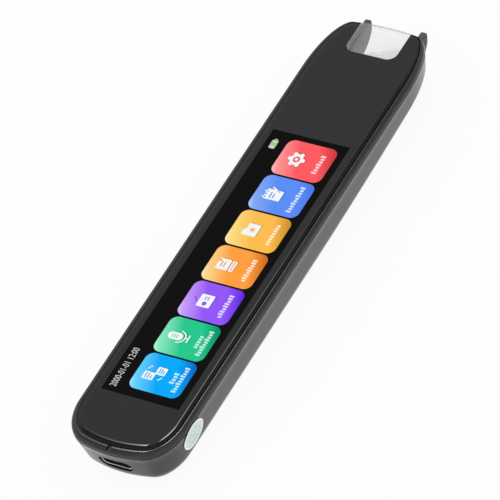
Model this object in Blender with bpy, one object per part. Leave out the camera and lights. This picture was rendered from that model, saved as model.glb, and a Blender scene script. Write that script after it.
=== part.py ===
# Scanning pen, lying on its back with the glass up.
# Metres, X across the pen, Y from the charging end to the scan tip, Z up out of the glass.
# The origin is on the floor, under the middle of the whole length.
# A depth is measured down from the face of the glass.

import math

import bmesh
import bpy
from mathutils import Vector

# Whole pen
pen_width = 0.0305
pen_length = 0.1449
pen_thickness = 0.0125
prong_reach = 0.0035
nose_thickness = 0.00925
taper_length = 0.0660
taper_power_share = 1.75

# Outline seen from the front, with long corners towards the tip
low_corner_width = 0.0085
low_corner_length = 0.0114
low_bulge_radius = 0.0350
high_corner_width = 0.0062
high_corner_length = 0.0169
high_bulge_radius = 0.0700

# Clearances
fit_gap = 0.0003
film_gap = 0.00012
seam_gap = 0.0002
overrun = 0.0020

# Rear shell
wall = 0.0013
lip_wall = 0.00065
lip_height = 0.0009
seam_depth = 0.0015
side_corner_radius = 0.0046
side_lean_share = 0.176
end_corner_radius = 0.0046
end_lean_share = 0.176

# Front frame
rim_top_depth = 0.0001
ledge_depth = 0.0012
frame_floor_depth = 0.0021
groove_side = 0.00135
groove_low = 0.0019
groove_high = 0.0003
groove_width = 0.0002
rim_profile_shares = (
    (0.0, 1.0), (0.03, 0.6), (0.12, 0.32), (0.32, 0.11), (0.6, 0.0), (0.9, 0.0), (1.0, 0.08),
)
slit_width = 0.0011
slit_depth = 0.0006

# Cover glass and scan window
glass_thickness = 0.00075
glass_edge = 0.0008
glass_edge_shares = ((0.0, 0.4), (0.12, 0.2), (0.42, 0.06), (1.0, 0.0))
notch_from_side = 0.00795
notch_length = 0.0100
notch_radius = 0.0025
window_thickness = 0.0010
window_drop = 0.00004
window_front_shares = (-0.75, -0.5, -0.25, 0.0, 0.25, 0.5, 0.75)
gasket_inset = 0.0003
gasket_width = 0.0010

# Display
panel_from_end = 0.01385
panel_from_notch = 0.02615
panel_side_gap = 0.0004
panel_thickness = 0.00133

# Scan tip
nib_travel = 0.0008
fin_inset_gap = 0.00005
fin_thickness = 0.0018
fin_length = 0.0126
fin_top_depth = 0.0031
fin_bottom_depth = 0.0096
fin_edge = 0.0007
fin_profile_shares = (
    (0.0, 1.0), (0.25, 0.95), (0.484, 0.884), (0.587, 0.841), (0.698, 0.754), (0.813, 0.623),
    (0.913, 0.478), (0.968, 0.29), (0.992, 0.174), (1.0, 0.1), (0.988, 0.03), (0.952, 0.0), (0.0, 0.0),
)
arm_top_depth = 0.0042
arm_bottom_depth = 0.0080
crossbar_past_fin = 0.0015
crossbar_thickness = 0.0016
crossbar_top_depth = 0.0058
crossbar_bottom_depth = 0.0088
stop_width = 0.0012
stop_thickness = 0.0010
stop_top_depth = 0.0062

# Nib springs and trigger switch
spring_length = 0.0038
spring_radius = 0.0011
spring_wire = 0.0002
spring_turns = 5
spring_depth = 0.0076
spring_past_fin = 0.00105
seat_thickness = 0.0012
seat_width = 0.0024
plunger_width = 0.0012
plunger_height = 0.0008
plunger_length = 0.0024
plunger_grip = 0.0009
trigger_body_width = 0.0036
trigger_body_length = 0.0032
trigger_body_height = 0.0014

# Light baffle, lamps and camera
baffle_from_fin = 0.0005
baffle_thickness = 0.0009
baffle_top_depth = 0.0025
baffle_foot_depth = 0.0084
lens_hole_radius = 0.0022
lamp_width_share = 0.5
lamp_height = 0.0030
lamp_thickness = 0.0007
light_board_thickness = 0.0008
light_board_height = 0.0060
cover_disc_thickness = 0.0005
optic_depth = 0.0055
camera_width = 0.0084
camera_length = 0.0080
camera_top_depth = 0.0032
camera_foot_depth = 0.0089
barrel_radius = 0.0024
barrel_bore = 0.0018
lens_thickness = 0.0010
crossbar_clearance = 0.0006

# Main board
board_thickness = 0.0008
board_depth = 0.0049
board_from_side = 0.0033
main_board_length = 0.0340
board_clearance = 0.0006
processor_size = 0.0100
processor_height = 0.0009
can_size = 0.0136
can_height = 0.0016
can_wall = 0.00030
can_from_front = 0.0190
memory_from_edge = 0.0009
memory_length = 0.0085
memory_height = 0.0009
memory_from_front = 0.0110
wireless_from_edge = 0.0008
wireless_length = 0.0105
wireless_height = 0.0012
wireless_from_front = 0.0100

# Power button on the side away from the photograph
button_length = 0.0084
button_height = 0.0020
button_thickness = 0.0016
button_flange = 0.0009
flange_thickness = 0.0006
button_from_front = 0.0232
button_depth = 0.0040
button_travel = 0.0003
button_proud = 0.0002
power_body_width = 0.0024
power_body_length = 0.0036
power_body_height = 0.0013

# Battery
battery_from_side = 0.0046
battery_thickness = 0.0056
battery_depth = 0.0037
battery_corner = 0.0012
battery_to_board = 0.0042
battery_to_charge_board = 0.0027
pad_width = 0.0150
pad_thickness = 0.0013
lead_radius = 0.00045
lead_x = 0.0030
lead_rise_share = 1.6

# Charging end
charge_board_from_side = 0.0046
charge_tongue_half_width = 0.0070
charge_board_length = 0.0251
charge_tongue_length = 0.0056
charge_board_inset = 0.0038
socket_width = 0.00894
socket_height = 0.00326
socket_length = 0.0073
socket_wall = 0.0003
socket_depth = 0.0062
socket_recess = 0.0016
socket_clearance = 0.0002
socket_rise = 0.0004
tongue_width = 0.0067
tongue_thickness = 0.0007
tongue_length = 0.0044
socket_base_length = 0.0020
charge_chip_size = 0.0045
charge_chip_height = 0.0009
microphone_from_edge = 0.00435
microphone_width = 0.0030
microphone_length = 0.0022
microphone_height = 0.0010

# Speaker behind slots in the back
speaker_from_side = 0.0065
speaker_length = 0.0140
speaker_thickness = 0.0030
speaker_depth = 0.0064
speaker_from_end = 0.0200
cone_radius = 0.0056
cone_thickness = 0.0005
cone_recess = 0.0009
speaker_gasket_width = 0.0012
slot_count = 5
slot_pitch = 0.0022
slot_length = 0.0090
slot_width = 0.0010

# Board screws and their bosses
boss_radius = 0.0017
pilot_radius = 0.0009
screw_radius = 0.0007
screw_head_radius = 0.0013
screw_head_height = 0.0007
screw_length = 0.0032
board_hole_radius = 0.0010
charge_screw_from_edge = 0.0017
charge_screw_from_end = 0.0102
main_screw_from_edge = 0.0023
main_screw_from_back = 0.0028

# Seal sticker on the right side
sticker_half_length = 0.0043
sticker_half_height = 0.0035
sticker_thickness = 0.0001
sticker_from_end = 0.0142
sticker_from_seam = 0.0033

# Ribbons
ribbon_thickness = 0.0002
display_ribbon_shares = ((-0.55, 0.0), (-0.25, 0.0), (-0.15, 0.08), (0.0, 0.9), (0.10, 1.0), (0.25, 1.0))
display_ribbon_width = 0.0070
ribbon_side_gap = 0.0013
camera_ribbon_width = 0.0050
camera_ribbon_reach = 0.0050
link_ribbon_width = 0.0040
link_ribbon_depth = 0.0030

# Places that follow from the sizes
bottom_y = -pen_length / 2
tip_y = pen_length / 2 - prong_reach
taper_start_y = tip_y - taper_length
shell_top_depth = seam_depth + seam_gap
lip_depth = shell_top_depth + lip_height
floor_depth = pen_thickness - wall
notch_y = tip_y - notch_length
notch_half_width = pen_width / 2 - notch_from_side
panel_back_y = bottom_y + panel_from_end
panel_front_y = notch_y - panel_from_notch
panel_length = panel_front_y - panel_back_y
display_y = (panel_back_y + panel_front_y) / 2
glass_side = groove_side + groove_width
glass_low = groove_low + groove_width
glass_high = groove_high + groove_width
panel_width = pen_width - 2 * (glass_side + gasket_inset + gasket_width + panel_side_gap)
fin_inner_x = notch_half_width - fin_inset_gap
fin_outer_x = fin_inner_x + fin_thickness
fin_back_y = pen_length / 2 - fin_length
crossbar_half_width = fin_outer_x + crossbar_past_fin
spring_x = fin_inner_x + spring_past_fin
baffle_half_width = fin_inner_x - baffle_from_fin
lamp_width = (baffle_half_width - barrel_radius) * lamp_width_share
lamp_x = (baffle_half_width + barrel_radius) / 2
slot_half_width = fin_outer_x + fit_gap
baffle_back_y = notch_y - baffle_thickness
lamp_front_y = baffle_back_y - fit_gap
light_board_front_y = lamp_front_y - lamp_thickness - film_gap
light_board_back_y = light_board_front_y - light_board_thickness
camera_front_y = light_board_back_y - fit_gap
camera_back_y = camera_front_y - camera_length
crossbar_front_y = camera_back_y - crossbar_clearance
crossbar_back_y = crossbar_front_y - crossbar_thickness
main_board_front_y = crossbar_back_y - nib_travel - board_clearance
main_board_back_y = main_board_front_y - main_board_length
main_board_width = pen_width - 2 * board_from_side
chip_start_x = display_ribbon_width / 2 + ribbon_side_gap
memory_width = main_board_width / 2 - chip_start_x - memory_from_edge
memory_x = chip_start_x + memory_width / 2
wireless_width = main_board_width / 2 - chip_start_x - wireless_from_edge
wireless_x = -chip_start_x - wireless_width / 2
board_back_depth = board_depth + board_thickness
seat_front_y = crossbar_back_y - fit_gap - spring_length - fit_gap
button_y = main_board_front_y - button_from_front
charge_board_y = bottom_y + charge_board_inset
charge_board_end_y = charge_board_y + charge_board_length
charge_board_half_width = pen_width / 2 - charge_board_from_side
microphone_x = microphone_from_edge - charge_board_half_width
battery_front_y = main_board_back_y - battery_to_board
battery_back_y = charge_board_end_y + battery_to_charge_board
battery_width = pen_width - 2 * battery_from_side
speaker_width = pen_width - 2 * speaker_from_side
speaker_y = bottom_y + speaker_from_end
socket_front_y = bottom_y + socket_recess
sticker_y = bottom_y + sticker_from_end
sticker_proud = film_gap + sticker_thickness
main_screw_x = main_board_width / 2 - main_screw_from_edge
main_screw_y = main_board_back_y + main_screw_from_back
charge_screw_x = charge_board_half_width - charge_screw_from_edge
charge_screw_y = bottom_y + charge_screw_from_end
screw_places = {
    "charge_screw_left": (-charge_screw_x, charge_screw_y),
    "charge_screw_right": (charge_screw_x, charge_screw_y),
    "main_screw_left": (-main_screw_x, main_screw_y),
    "main_screw_right": (main_screw_x, main_screw_y),
}


def height(depth):
    return pen_thickness - depth


# Materials
def material(name, colour, roughness, metallic=0.0, alpha=1.0):
    mat = bpy.data.materials.new(name)
    mat.use_nodes = True
    shader = mat.node_tree.nodes["Principled BSDF"]
    shader.inputs["Base Color"].default_value = (*colour, 1.0)
    shader.inputs["Roughness"].default_value = roughness
    shader.inputs["Metallic"].default_value = metallic
    shader.inputs["Alpha"].default_value = alpha
    return mat


# Solids from outlines
def solid(name, bm, mat, origin=(0.0, 0.0, 0.0), smooth=True):
    bmesh.ops.recalc_face_normals(bm, faces=bm.faces)
    bmesh.ops.translate(bm, verts=bm.verts, vec=-Vector(origin))
    mesh = bpy.data.meshes.new(name)
    bm.to_mesh(mesh)
    bm.free()
    if smooth:
        mesh.shade_smooth()
        mesh.set_sharp_from_angle(angle=math.radians(35.0))
    if mat:
        mesh.materials.append(mat)
    obj = bpy.data.objects.new(name, mesh)
    obj.location = origin
    bpy.context.scene.collection.objects.link(obj)
    return obj


def prism(points, along, low, high):
    # Extrudes a flat outline along one axis: its two numbers are the other two axes in order
    bm = bmesh.new()
    ends = []
    for level in (low, high):
        spots = {
            "X": [(level, a, b) for a, b in points],
            "Y": [(a, level, b) for a, b in points],
            "Z": [(a, b, level) for a, b in points],
        }[along]
        ends.append([bm.verts.new(spot) for spot in spots])
    bm.faces.new(ends[0])
    bm.faces.new(ends[1])
    for i in range(len(points)):
        j = (i + 1) % len(points)
        bm.faces.new((ends[0][i], ends[0][j], ends[1][j], ends[1][i]))
    return bm


def block(low, high):
    corners = [(low[0], low[1]), (high[0], low[1]), (high[0], high[1]), (low[0], high[1])]
    return prism(corners, "Z", low[2], high[2])


def centred_block(centre_x, centre_y, width, length, upper_depth, lower_depth):
    return block(
        (centre_x - width / 2, centre_y - length / 2, height(lower_depth)),
        (centre_x + width / 2, centre_y + length / 2, height(upper_depth)),
    )


def circle(radius, centre=(0.0, 0.0), steps=20):
    turns = [2 * math.pi * i / steps for i in range(steps)]
    return [(centre[0] + radius * math.cos(a), centre[1] + radius * math.sin(a)) for a in turns]


def stadium(length, width, centre=(0.0, 0.0), steps=8):
    # A slot outline with round ends, long in its first direction
    radius = width / 2
    reach = length / 2 - radius
    points = []
    for side, start in ((1, -math.pi / 2), (-1, math.pi / 2)):
        for i in range(steps + 1):
            a = start + math.pi * i / steps
            spot_x = centre[0] + side * reach + radius * math.cos(a)
            points.append((spot_x, centre[1] + radius * math.sin(a)))
    return points


def cutter(name, bm):
    obj = solid(name, bm, None, smooth=False)
    obj.hide_render = True
    obj.display_type = "WIRE"
    return obj


def combine(obj, tool, operation="DIFFERENCE"):
    step = obj.modifiers.new(tool.name, "BOOLEAN")
    step.operation = operation
    step.solver = "EXACT"
    step.object = tool


def attach(obj, empty):
    obj.parent = empty
    obj.location = obj.location - empty.location


def empty_at(name, place):
    empty = bpy.data.objects.new(name, None)
    empty.location = place
    bpy.context.scene.collection.objects.link(empty)
    return empty


# Outline of the pen at one depth
corner_steps = 8
bulge_shares = (0.4, 0.8)
side_shares = (0.3, 0.6, 0.7, 0.8, 0.9)


def end_points(end, half_width, inset, corner, bulge_radius):
    # From the side of the pen to its middle line, round one long corner of one end
    corner_width, corner_length = corner
    end_y = bottom_y + inset if end < 0 else tip_y - inset
    corner_x = half_width - corner_width
    join_angle = math.asin(corner_x / (bulge_radius - corner_width))
    join_sag = bulge_radius * (1.0 - math.cos(join_angle))
    points = []
    for i in range(corner_steps + 1):
        a = math.pi / 2 + (join_angle - math.pi / 2) * i / corner_steps
        sag = join_sag + corner_length * (math.cos(join_angle) - math.cos(a))
        points.append((corner_x + corner_width * math.sin(a), end_y - end * sag))
    for share in bulge_shares:
        a = join_angle * (1.0 - share)
        points.append((bulge_radius * math.sin(a), end_y - end * bulge_radius * (1.0 - math.cos(a))))
    return points


def half_outline(side, low, high):
    half_width = pen_width / 2 - side
    low_inset = (side + low) / 2
    low_corner = (low_corner_width - low_inset, low_corner_length - low_inset)
    low_part = end_points(-1, half_width, low, low_corner, low_bulge_radius - low)
    high_inset = (side + high) / 2
    high_corner = (high_corner_width - high_inset, high_corner_length - high_inset)
    high_part = end_points(1, half_width, high, high_corner, high_bulge_radius - high)
    start = low_part[0][1]
    run = high_part[0][1] - start
    side_part = [(half_width, start + run * share) for share in side_shares]
    return low_part[::-1] + side_part + high_part


def back_depth(y):
    run = max((y - taper_start_y) / taper_length, 0.0)
    return pen_thickness - (pen_thickness - nose_thickness) * run ** taper_power_share


def tapered_depth(depth, y):
    # Below the lip everything is drawn in towards the tip
    if depth <= lip_depth:
        return depth
    squeeze = (back_depth(y) - lip_depth) / (pen_thickness - lip_depth)
    return lip_depth + (depth - lip_depth) * squeeze


def ring(side, low, high, depth):
    half = half_outline(side, low, high)
    right = [(x, y, height(tapered_depth(depth, y))) for x, y in half]
    left = [(-x, y, z) for x, y, z in reversed(right)]
    return right + left


def ring_chain(rings, closed=False):
    # Joins outlines of like count; both ends are capped across the pen, or joined into a loop
    bm = bmesh.new()
    loops = [[bm.verts.new(spot) for spot in points] for points in rings]
    count = len(rings[0])
    pairs = list(zip(loops, loops[1:]))
    if closed:
        pairs.append((loops[-1], loops[0]))
    for one, two in pairs:
        for i in range(count):
            j = (i + 1) % count
            bm.faces.new((one[i], one[j], two[j], two[i]))
    if not closed:
        for loop in (loops[0], loops[-1]):
            for i in range(count // 2 - 1):
                bm.faces.new((loop[i], loop[i + 1], loop[count - 2 - i], loop[count - 1 - i]))
    return bm


def corner_inset(radius, lean_share):
    # How far in from the widest line a corner's centre lies
    centre_depth = pen_thickness - radius
    return (centre_depth - shell_top_depth) * lean_share + radius * math.hypot(1.0, lean_share)


def wall_inset(depth, skin, radius, lean_share):
    # A wall that leans in from the seam and then rounds into the back
    drop = depth - (pen_thickness - radius)
    tangent_drop = (radius - skin) * math.sin(math.atan(lean_share))
    if drop <= tangent_drop:
        return (depth - shell_top_depth) * lean_share + skin * math.hypot(1.0, lean_share)
    return corner_inset(radius, lean_share) - math.sqrt(max((radius - skin) ** 2 - drop ** 2, 0.0))


def side_inset(depth, skin):
    return wall_inset(depth, skin, side_corner_radius, side_lean_share)


def end_inset(depth, skin):
    return wall_inset(depth, skin, end_corner_radius, end_lean_share)


def side_depth(x, skin):
    # Depth of a surface set in by skin from the outside, at a distance x from the middle
    reach = max(x - pen_width / 2 + corner_inset(side_corner_radius, side_lean_share), 0.0)
    return pen_thickness - side_corner_radius + math.sqrt((side_corner_radius - skin) ** 2 - reach ** 2)


def post_foot(x, y):
    # Height where a post that reaches out to x ends inside the shell's wall
    return height(tapered_depth(side_depth(x, wall / 2), y))


def shell_ring(depth, skin):
    return ring(side_inset(depth, skin), end_inset(depth, skin), side_inset(depth, skin), depth)


round_angles = (10.0, 25.0, 39.0, 51.0, 62.0, 72.0, 81.0, 90.0)


def shell_levels(top, skin):
    levels = [top]
    for angle in round_angles:
        drop = (end_corner_radius - skin) * math.sin(math.radians(angle))
        levels.append(pen_thickness - end_corner_radius + drop)
    return levels


def notch_outline(gap, far_y):
    # The U shape of the scan window, open at the tip
    half = notch_half_width - gap
    radius = notch_radius - gap
    start_y = notch_y + gap
    points = [(half, far_y)]
    for i in range(7):
        a = math.pi / 2 * i / 6
        points.append((half - radius + radius * math.cos(a), start_y + radius - radius * math.sin(a)))
    return points + [(-x, y) for x, y in reversed(points)]


def bulge_y(x):
    # Where the bulge of the scan tip ends, at a distance x from the middle
    return tip_y - high_bulge_radius + math.sqrt(high_bulge_radius ** 2 - x ** 2)


# Clear the scene
for leftover in list(bpy.data.objects):
    bpy.data.objects.remove(leftover)

shell_plastic = material("shell_plastic", (0.028, 0.028, 0.030), 0.42)
frame_plastic = material("frame_plastic", (0.020, 0.020, 0.021), 0.35)
black_glass = material("black_glass", (0.012, 0.012, 0.013), 0.12)
clear_plate = material("clear_plate", (0.90, 0.92, 0.94), 0.05, alpha=0.3)
fork_plastic = material("fork_plastic", (0.045, 0.045, 0.048), 0.45)
display_black = material("display_black", (0.004, 0.004, 0.005), 0.2)
gasket_foam = material("gasket_foam", (0.010, 0.010, 0.010), 0.9)
board_green = material("board_green", (0.010, 0.090, 0.040), 0.45)
chip_black = material("chip_black", (0.015, 0.015, 0.017), 0.5)
can_metal = material("can_metal", (0.66, 0.66, 0.65), 0.35, 1.0)
steel = material("steel", (0.60, 0.60, 0.60), 0.3, 1.0)
ribbon_amber = material("ribbon_amber", (0.30, 0.11, 0.02), 0.4)
cell_silver = material("cell_silver", (0.45, 0.46, 0.48), 0.4, 0.6)
lens_glass = material("lens_glass", (0.03, 0.03, 0.06), 0.05)
lamp_white = material("lamp_white", (0.85, 0.85, 0.75), 0.3)
switch_black = material("switch_black", (0.02, 0.02, 0.02), 0.55)
lead_red = material("lead_red", (0.50, 0.02, 0.02), 0.45)
lead_black = material("lead_black", (0.012, 0.012, 0.012), 0.45)
paper_seal = material("paper_seal", (0.66, 0.78, 0.70), 0.5)
cone_paper = material("cone_paper", (0.05, 0.05, 0.05), 0.8)

# Rear shell: a cup with a rebated lip
outer_rings = [shell_ring(depth, 0.0) for depth in shell_levels(shell_top_depth, 0.0)]
lip_rings = [ring(lip_wall, lip_wall, lip_wall, depth) for depth in (shell_top_depth, lip_depth)]
inner_rings = [shell_ring(depth, wall) for depth in shell_levels(lip_depth, wall)]
rear_shell = solid("rear_shell", ring_chain(outer_rings[::-1] + lip_rings + inner_rings), shell_plastic)

for screw_name, (screw_x, screw_y) in screw_places.items():
    boss_low = post_foot(abs(screw_x) + boss_radius, screw_y)
    boss_high = height(board_back_depth + film_gap)
    boss = prism(circle(boss_radius, (screw_x, screw_y)), "Z", boss_low, boss_high)
    combine(rear_shell, cutter("boss_" + screw_name, boss), "UNION")

for side, label in ((-1, "left"), (1, "right")):
    seat_low = post_foot(spring_x + seat_width / 2, seat_front_y)
    seat = block(
        (side * spring_x - seat_width / 2, seat_front_y - seat_thickness, seat_low),
        (side * spring_x + seat_width / 2, seat_front_y, height(board_back_depth + fit_gap)),
    )
    combine(rear_shell, cutter("spring_seat_" + label, seat), "UNION")
    stop_x = side * (crossbar_half_width - stop_width / 2)
    stop_y = crossbar_front_y + fit_gap + stop_thickness
    stop_low = post_foot(crossbar_half_width, stop_y)
    stop = block(
        (stop_x - stop_width / 2, stop_y - stop_thickness, stop_low),
        (stop_x + stop_width / 2, stop_y, height(stop_top_depth)),
    )
    combine(rear_shell, cutter("fork_stop_" + label, stop), "UNION")

for screw_name, (screw_x, screw_y) in screw_places.items():
    pilot_low = height(board_back_depth + screw_length)
    pilot = prism(circle(pilot_radius, (screw_x, screw_y), 12), "Z", pilot_low, height(board_depth))
    combine(rear_shell, cutter("pilot_" + screw_name, pilot))

socket_hole = stadium(
    socket_width + 2 * socket_clearance,
    socket_height + 2 * socket_rise,
    (0.0, height(socket_depth)),
)
socket_cut = prism(socket_hole, "Y", bottom_y - overrun, socket_front_y + wall + overrun)
combine(rear_shell, cutter("socket_hole", socket_cut))

nose_slot = block(
    (-slot_half_width, fin_back_y - nib_travel - fit_gap, -overrun),
    (slot_half_width, pen_length / 2 + overrun, pen_thickness + overrun),
)
combine(rear_shell, cutter("nose_slot", nose_slot))

for index in range(slot_count):
    slot_y = speaker_y + (index - (slot_count - 1) / 2) * slot_pitch
    slot = prism(stadium(slot_length, slot_width, (0.0, slot_y), 4), "Z", -overrun, wall + overrun / 2)
    combine(rear_shell, cutter("speaker_slot_%d" % (index + 1), slot))

button_spot = (button_y, height(button_depth))
button_opening = stadium(button_length + 2 * fit_gap, button_height + 2 * fit_gap, button_spot)
opening_cut = prism(button_opening, "X", -pen_width / 2 - overrun, -pen_width / 2 + wall + overrun / 2)
combine(rear_shell, cutter("button_opening", opening_cut))

# Front frame: a tray with a rounded rim
frame_rings = [
    ring(lip_wall + seam_gap, lip_wall + seam_gap, lip_wall + seam_gap, frame_floor_depth),
    ring(lip_wall + seam_gap, lip_wall + seam_gap, lip_wall + seam_gap, seam_depth),
]
for inset_share, depth_share in rim_profile_shares:
    rim_depth = rim_top_depth + depth_share * (seam_depth - rim_top_depth)
    frame_rings.append(
        ring(inset_share * groove_side, inset_share * groove_low, inset_share * groove_high, rim_depth)
    )
frame_rings.append(ring(groove_side, groove_low, groove_high, ledge_depth))
front_frame = solid("front_frame", ring_chain(frame_rings), frame_plastic)

display_opening = centred_block(
    0.0, display_y, panel_width + 2 * fit_gap, panel_length + 2 * fit_gap,
    -overrun, frame_floor_depth + overrun,
)
combine(front_frame, cutter("display_opening", display_opening))
past_tip_y = pen_length / 2 + overrun
frame_notch = prism(notch_outline(0.0, past_tip_y), "Z", -overrun, pen_thickness + overrun)
notch_cutter = cutter("notch", frame_notch)
combine(front_frame, notch_cutter)
slit_cut = block(
    (-slit_width / 2, bottom_y - overrun, height(slit_depth)),
    (slit_width / 2, bottom_y + groove_low + groove_width / 2, pen_thickness + overrun),
)
combine(front_frame, cutter("microphone_slit", slit_cut))

# Cover glass with a rounded edge
glass_rings = [ring(glass_side, glass_low, glass_high, glass_thickness)]
for inset_share, depth_share in glass_edge_shares:
    inset = inset_share * glass_edge
    glass_rings.append(
        ring(glass_side + inset, glass_low + inset, glass_high + inset, depth_share * glass_thickness)
    )
cover_glass = solid("cover_glass", ring_chain(glass_rings), black_glass)
combine(cover_glass, notch_cutter)

# Foam gasket between the glass and the frame's ledge
gasket_top = glass_thickness + film_gap
gasket_bottom = ledge_depth - film_gap
gasket_rings = [
    ring(glass_side + inset, glass_low + inset, glass_high + inset, depth)
    for inset, depth in (
        (gasket_inset, gasket_top),
        (gasket_inset, gasket_bottom),
        (gasket_inset + gasket_width, gasket_bottom),
        (gasket_inset + gasket_width, gasket_top),
    )
]
glass_gasket = solid("glass_gasket", ring_chain(gasket_rings, closed=True), gasket_foam)
gasket_notch = prism(notch_outline(-fit_gap, past_tip_y), "Z", -overrun, pen_thickness + overrun)
combine(glass_gasket, cutter("gasket_notch", gasket_notch))

# Clear scan window in the notch
window_low = height(window_drop + window_thickness)
window_half = notch_half_width - film_gap
window_points = notch_outline(film_gap, bulge_y(window_half) - film_gap)
window_points += [
    (share * window_half, bulge_y(share * window_half) - film_gap) for share in window_front_shares
]
window_plate = prism(window_points, "Z", window_low, height(window_drop))
solid("scan_window", window_plate, clear_plate)

# Display behind the glass
panel_top_depth = glass_thickness + film_gap
panel_back_depth = panel_top_depth + panel_thickness
panel = centred_block(0.0, display_y, panel_width, panel_length, panel_top_depth, panel_back_depth)
solid("display_panel", panel, display_black, smooth=False)


def ribbon(name, path, width, x=0.0):
    # A flat strip that follows points given as (y, depth) of its upper face
    points = [(y, height(depth)) for y, depth in path]
    points += [(y, height(depth + ribbon_thickness)) for y, depth in reversed(path)]
    return solid(name, prism(points, "X", x - width / 2, x + width / 2), ribbon_amber)


board_ribbon_depth = board_depth - film_gap - ribbon_thickness
panel_ribbon_depth = panel_back_depth + film_gap
display_overlap = panel_front_y - main_board_back_y
display_path = [
    (
        panel_front_y + y_share * display_overlap,
        panel_ribbon_depth + depth_share * (board_ribbon_depth - panel_ribbon_depth),
    )
    for y_share, depth_share in display_ribbon_shares
]
ribbon("display_ribbon", display_path, display_ribbon_width)

# Nib fork: two fins, two arms and a crossbar
nib_slide = empty_at("nib_slide", (0.0, crossbar_back_y, height(spring_depth)))


def fin(side):
    depth_run = fin_bottom_depth - fin_top_depth
    points = [
        (fin_back_y + y_share * fin_length, height(fin_top_depth + z_share * depth_run))
        for y_share, z_share in fin_profile_shares
    ]
    bm = prism(points, "X", side * fin_inner_x, side * fin_outer_x)
    bmesh.ops.recalc_face_normals(bm, faces=bm.faces)
    rim = [
        edge for edge in bm.edges
        if all(abs(abs(vert.co.x) - fin_outer_x) < film_gap for vert in edge.verts)
        and any(vert.co.y > fin_back_y + fin_length / 2 for vert in edge.verts)
    ]
    bmesh.ops.bevel(bm, geom=rim, offset=fin_edge, segments=2, profile=0.5, affect="EDGES")
    return bm


nib_fork = solid("nib_fork", fin(1), fork_plastic, (0.0, crossbar_back_y, height(spring_depth)))
combine(nib_fork, cutter("fin_left", fin(-1)), "UNION")
crossbar = block(
    (-crossbar_half_width, crossbar_back_y, height(crossbar_bottom_depth)),
    (crossbar_half_width, crossbar_front_y, height(crossbar_top_depth)),
)
for side, label in ((-1, "left"), (1, "right")):
    arm_points = sorted((side * (fin_inner_x + fin_edge), side * fin_outer_x - side * fin_inset_gap))
    arm = block(
        (arm_points[0], crossbar_back_y + crossbar_thickness / 2, height(arm_bottom_depth)),
        (arm_points[1], fin_back_y + fin_edge, height(arm_top_depth)),
    )
    combine(nib_fork, cutter("arm_" + label, arm), "UNION")
combine(nib_fork, cutter("crossbar", crossbar), "UNION")
attach(nib_fork, nib_slide)

# Springs that push the fork out
spring_steps = 10
for side, label in ((-1, "left"), (1, "right")):
    path = bpy.data.curves.new("nib_spring_" + label, "CURVE")
    path.dimensions = "3D"
    path.bevel_depth = spring_wire
    path.bevel_resolution = 1
    path.use_fill_caps = True
    line = path.splines.new("POLY")
    total = spring_turns * spring_steps
    line.points.add(total)
    first_y = seat_front_y + fit_gap + spring_wire
    run = crossbar_back_y - fit_gap - spring_wire - first_y
    for index in range(total + 1):
        a = 2 * math.pi * index / spring_steps
        line.points[index].co = (
            side * spring_x + (spring_radius - spring_wire) * math.cos(a),
            first_y + run * index / total,
            height(spring_depth) + (spring_radius - spring_wire) * math.sin(a),
            1.0,
        )
    path.materials.append(steel)
    spring = bpy.data.objects.new("nib_spring_" + label, path)
    bpy.context.scene.collection.objects.link(spring)

# Trigger switch under the front edge of the main board, pressed by the crossbar
trigger_top = board_back_depth + film_gap
trigger_front_y = main_board_front_y
trigger_back_y = trigger_front_y - trigger_body_length
trigger_body = block(
    (-trigger_body_width / 2, trigger_back_y, height(trigger_top + trigger_body_height)),
    (trigger_body_width / 2, trigger_front_y, height(trigger_top)),
)
trigger_switch = solid("trigger_switch", trigger_body, switch_black, smooth=False)
plunger_depth = trigger_top + trigger_body_height / 2
plunger_front_y = crossbar_back_y - film_gap
plunger_back_y = plunger_front_y - plunger_length
trigger_pocket = block(
    (
        -plunger_width / 2 - film_gap,
        plunger_back_y - nib_travel - fit_gap,
        height(plunger_depth + plunger_height / 2 + film_gap),
    ),
    (
        plunger_width / 2 + film_gap,
        trigger_front_y + overrun,
        height(plunger_depth - plunger_height / 2 - film_gap),
    ),
)
combine(trigger_switch, cutter("trigger_pocket", trigger_pocket))
plunger = block(
    (-plunger_width / 2, plunger_back_y, height(plunger_depth + plunger_height / 2)),
    (plunger_width / 2, plunger_front_y, height(plunger_depth - plunger_height / 2)),
)
plunger_place = (0.0, plunger_back_y, height(plunger_depth))
trigger_plunger = solid("trigger_plunger", plunger, lamp_white, plunger_place, smooth=False)
attach(trigger_plunger, nib_slide)

# Light baffle with its lens hole and two lamp windows
baffle = solid(
    "light_baffle",
    block(
        (-baffle_half_width, baffle_back_y, height(baffle_foot_depth)),
        (baffle_half_width, notch_y, height(baffle_top_depth)),
    ),
    switch_black,
)
lens_hole = prism(
    circle(lens_hole_radius, (0.0, height(optic_depth))), "Y", baffle_back_y - overrun, notch_y + overrun,
)
combine(baffle, cutter("lens_hole", lens_hole))
for side, label in ((-1, "left"), (1, "right")):
    lamp_low = (side * lamp_x - lamp_width / 2, height(optic_depth) - lamp_height / 2)
    lamp_high = (side * lamp_x + lamp_width / 2, height(optic_depth) + lamp_height / 2)
    lamp_hole = block(
        (lamp_low[0], baffle_back_y - overrun / 4, lamp_low[1]),
        (lamp_high[0], notch_y + overrun, lamp_high[1]),
    )
    combine(baffle, cutter("lamp_hole_" + label, lamp_hole))
    lamp = block(
        (lamp_low[0], lamp_front_y - lamp_thickness, lamp_low[1]),
        (lamp_high[0], lamp_front_y, lamp_high[1]),
    )
    solid("scan_lamp_" + label, lamp, lamp_white, smooth=False)

cover_disc = prism(
    circle(lens_hole_radius - film_gap, (0.0, height(optic_depth))),
    "Y",
    notch_y - baffle_thickness / 2 - cover_disc_thickness / 2,
    notch_y - baffle_thickness / 2 + cover_disc_thickness / 2,
)
solid("lens_cover", cover_disc, clear_plate)

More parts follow.
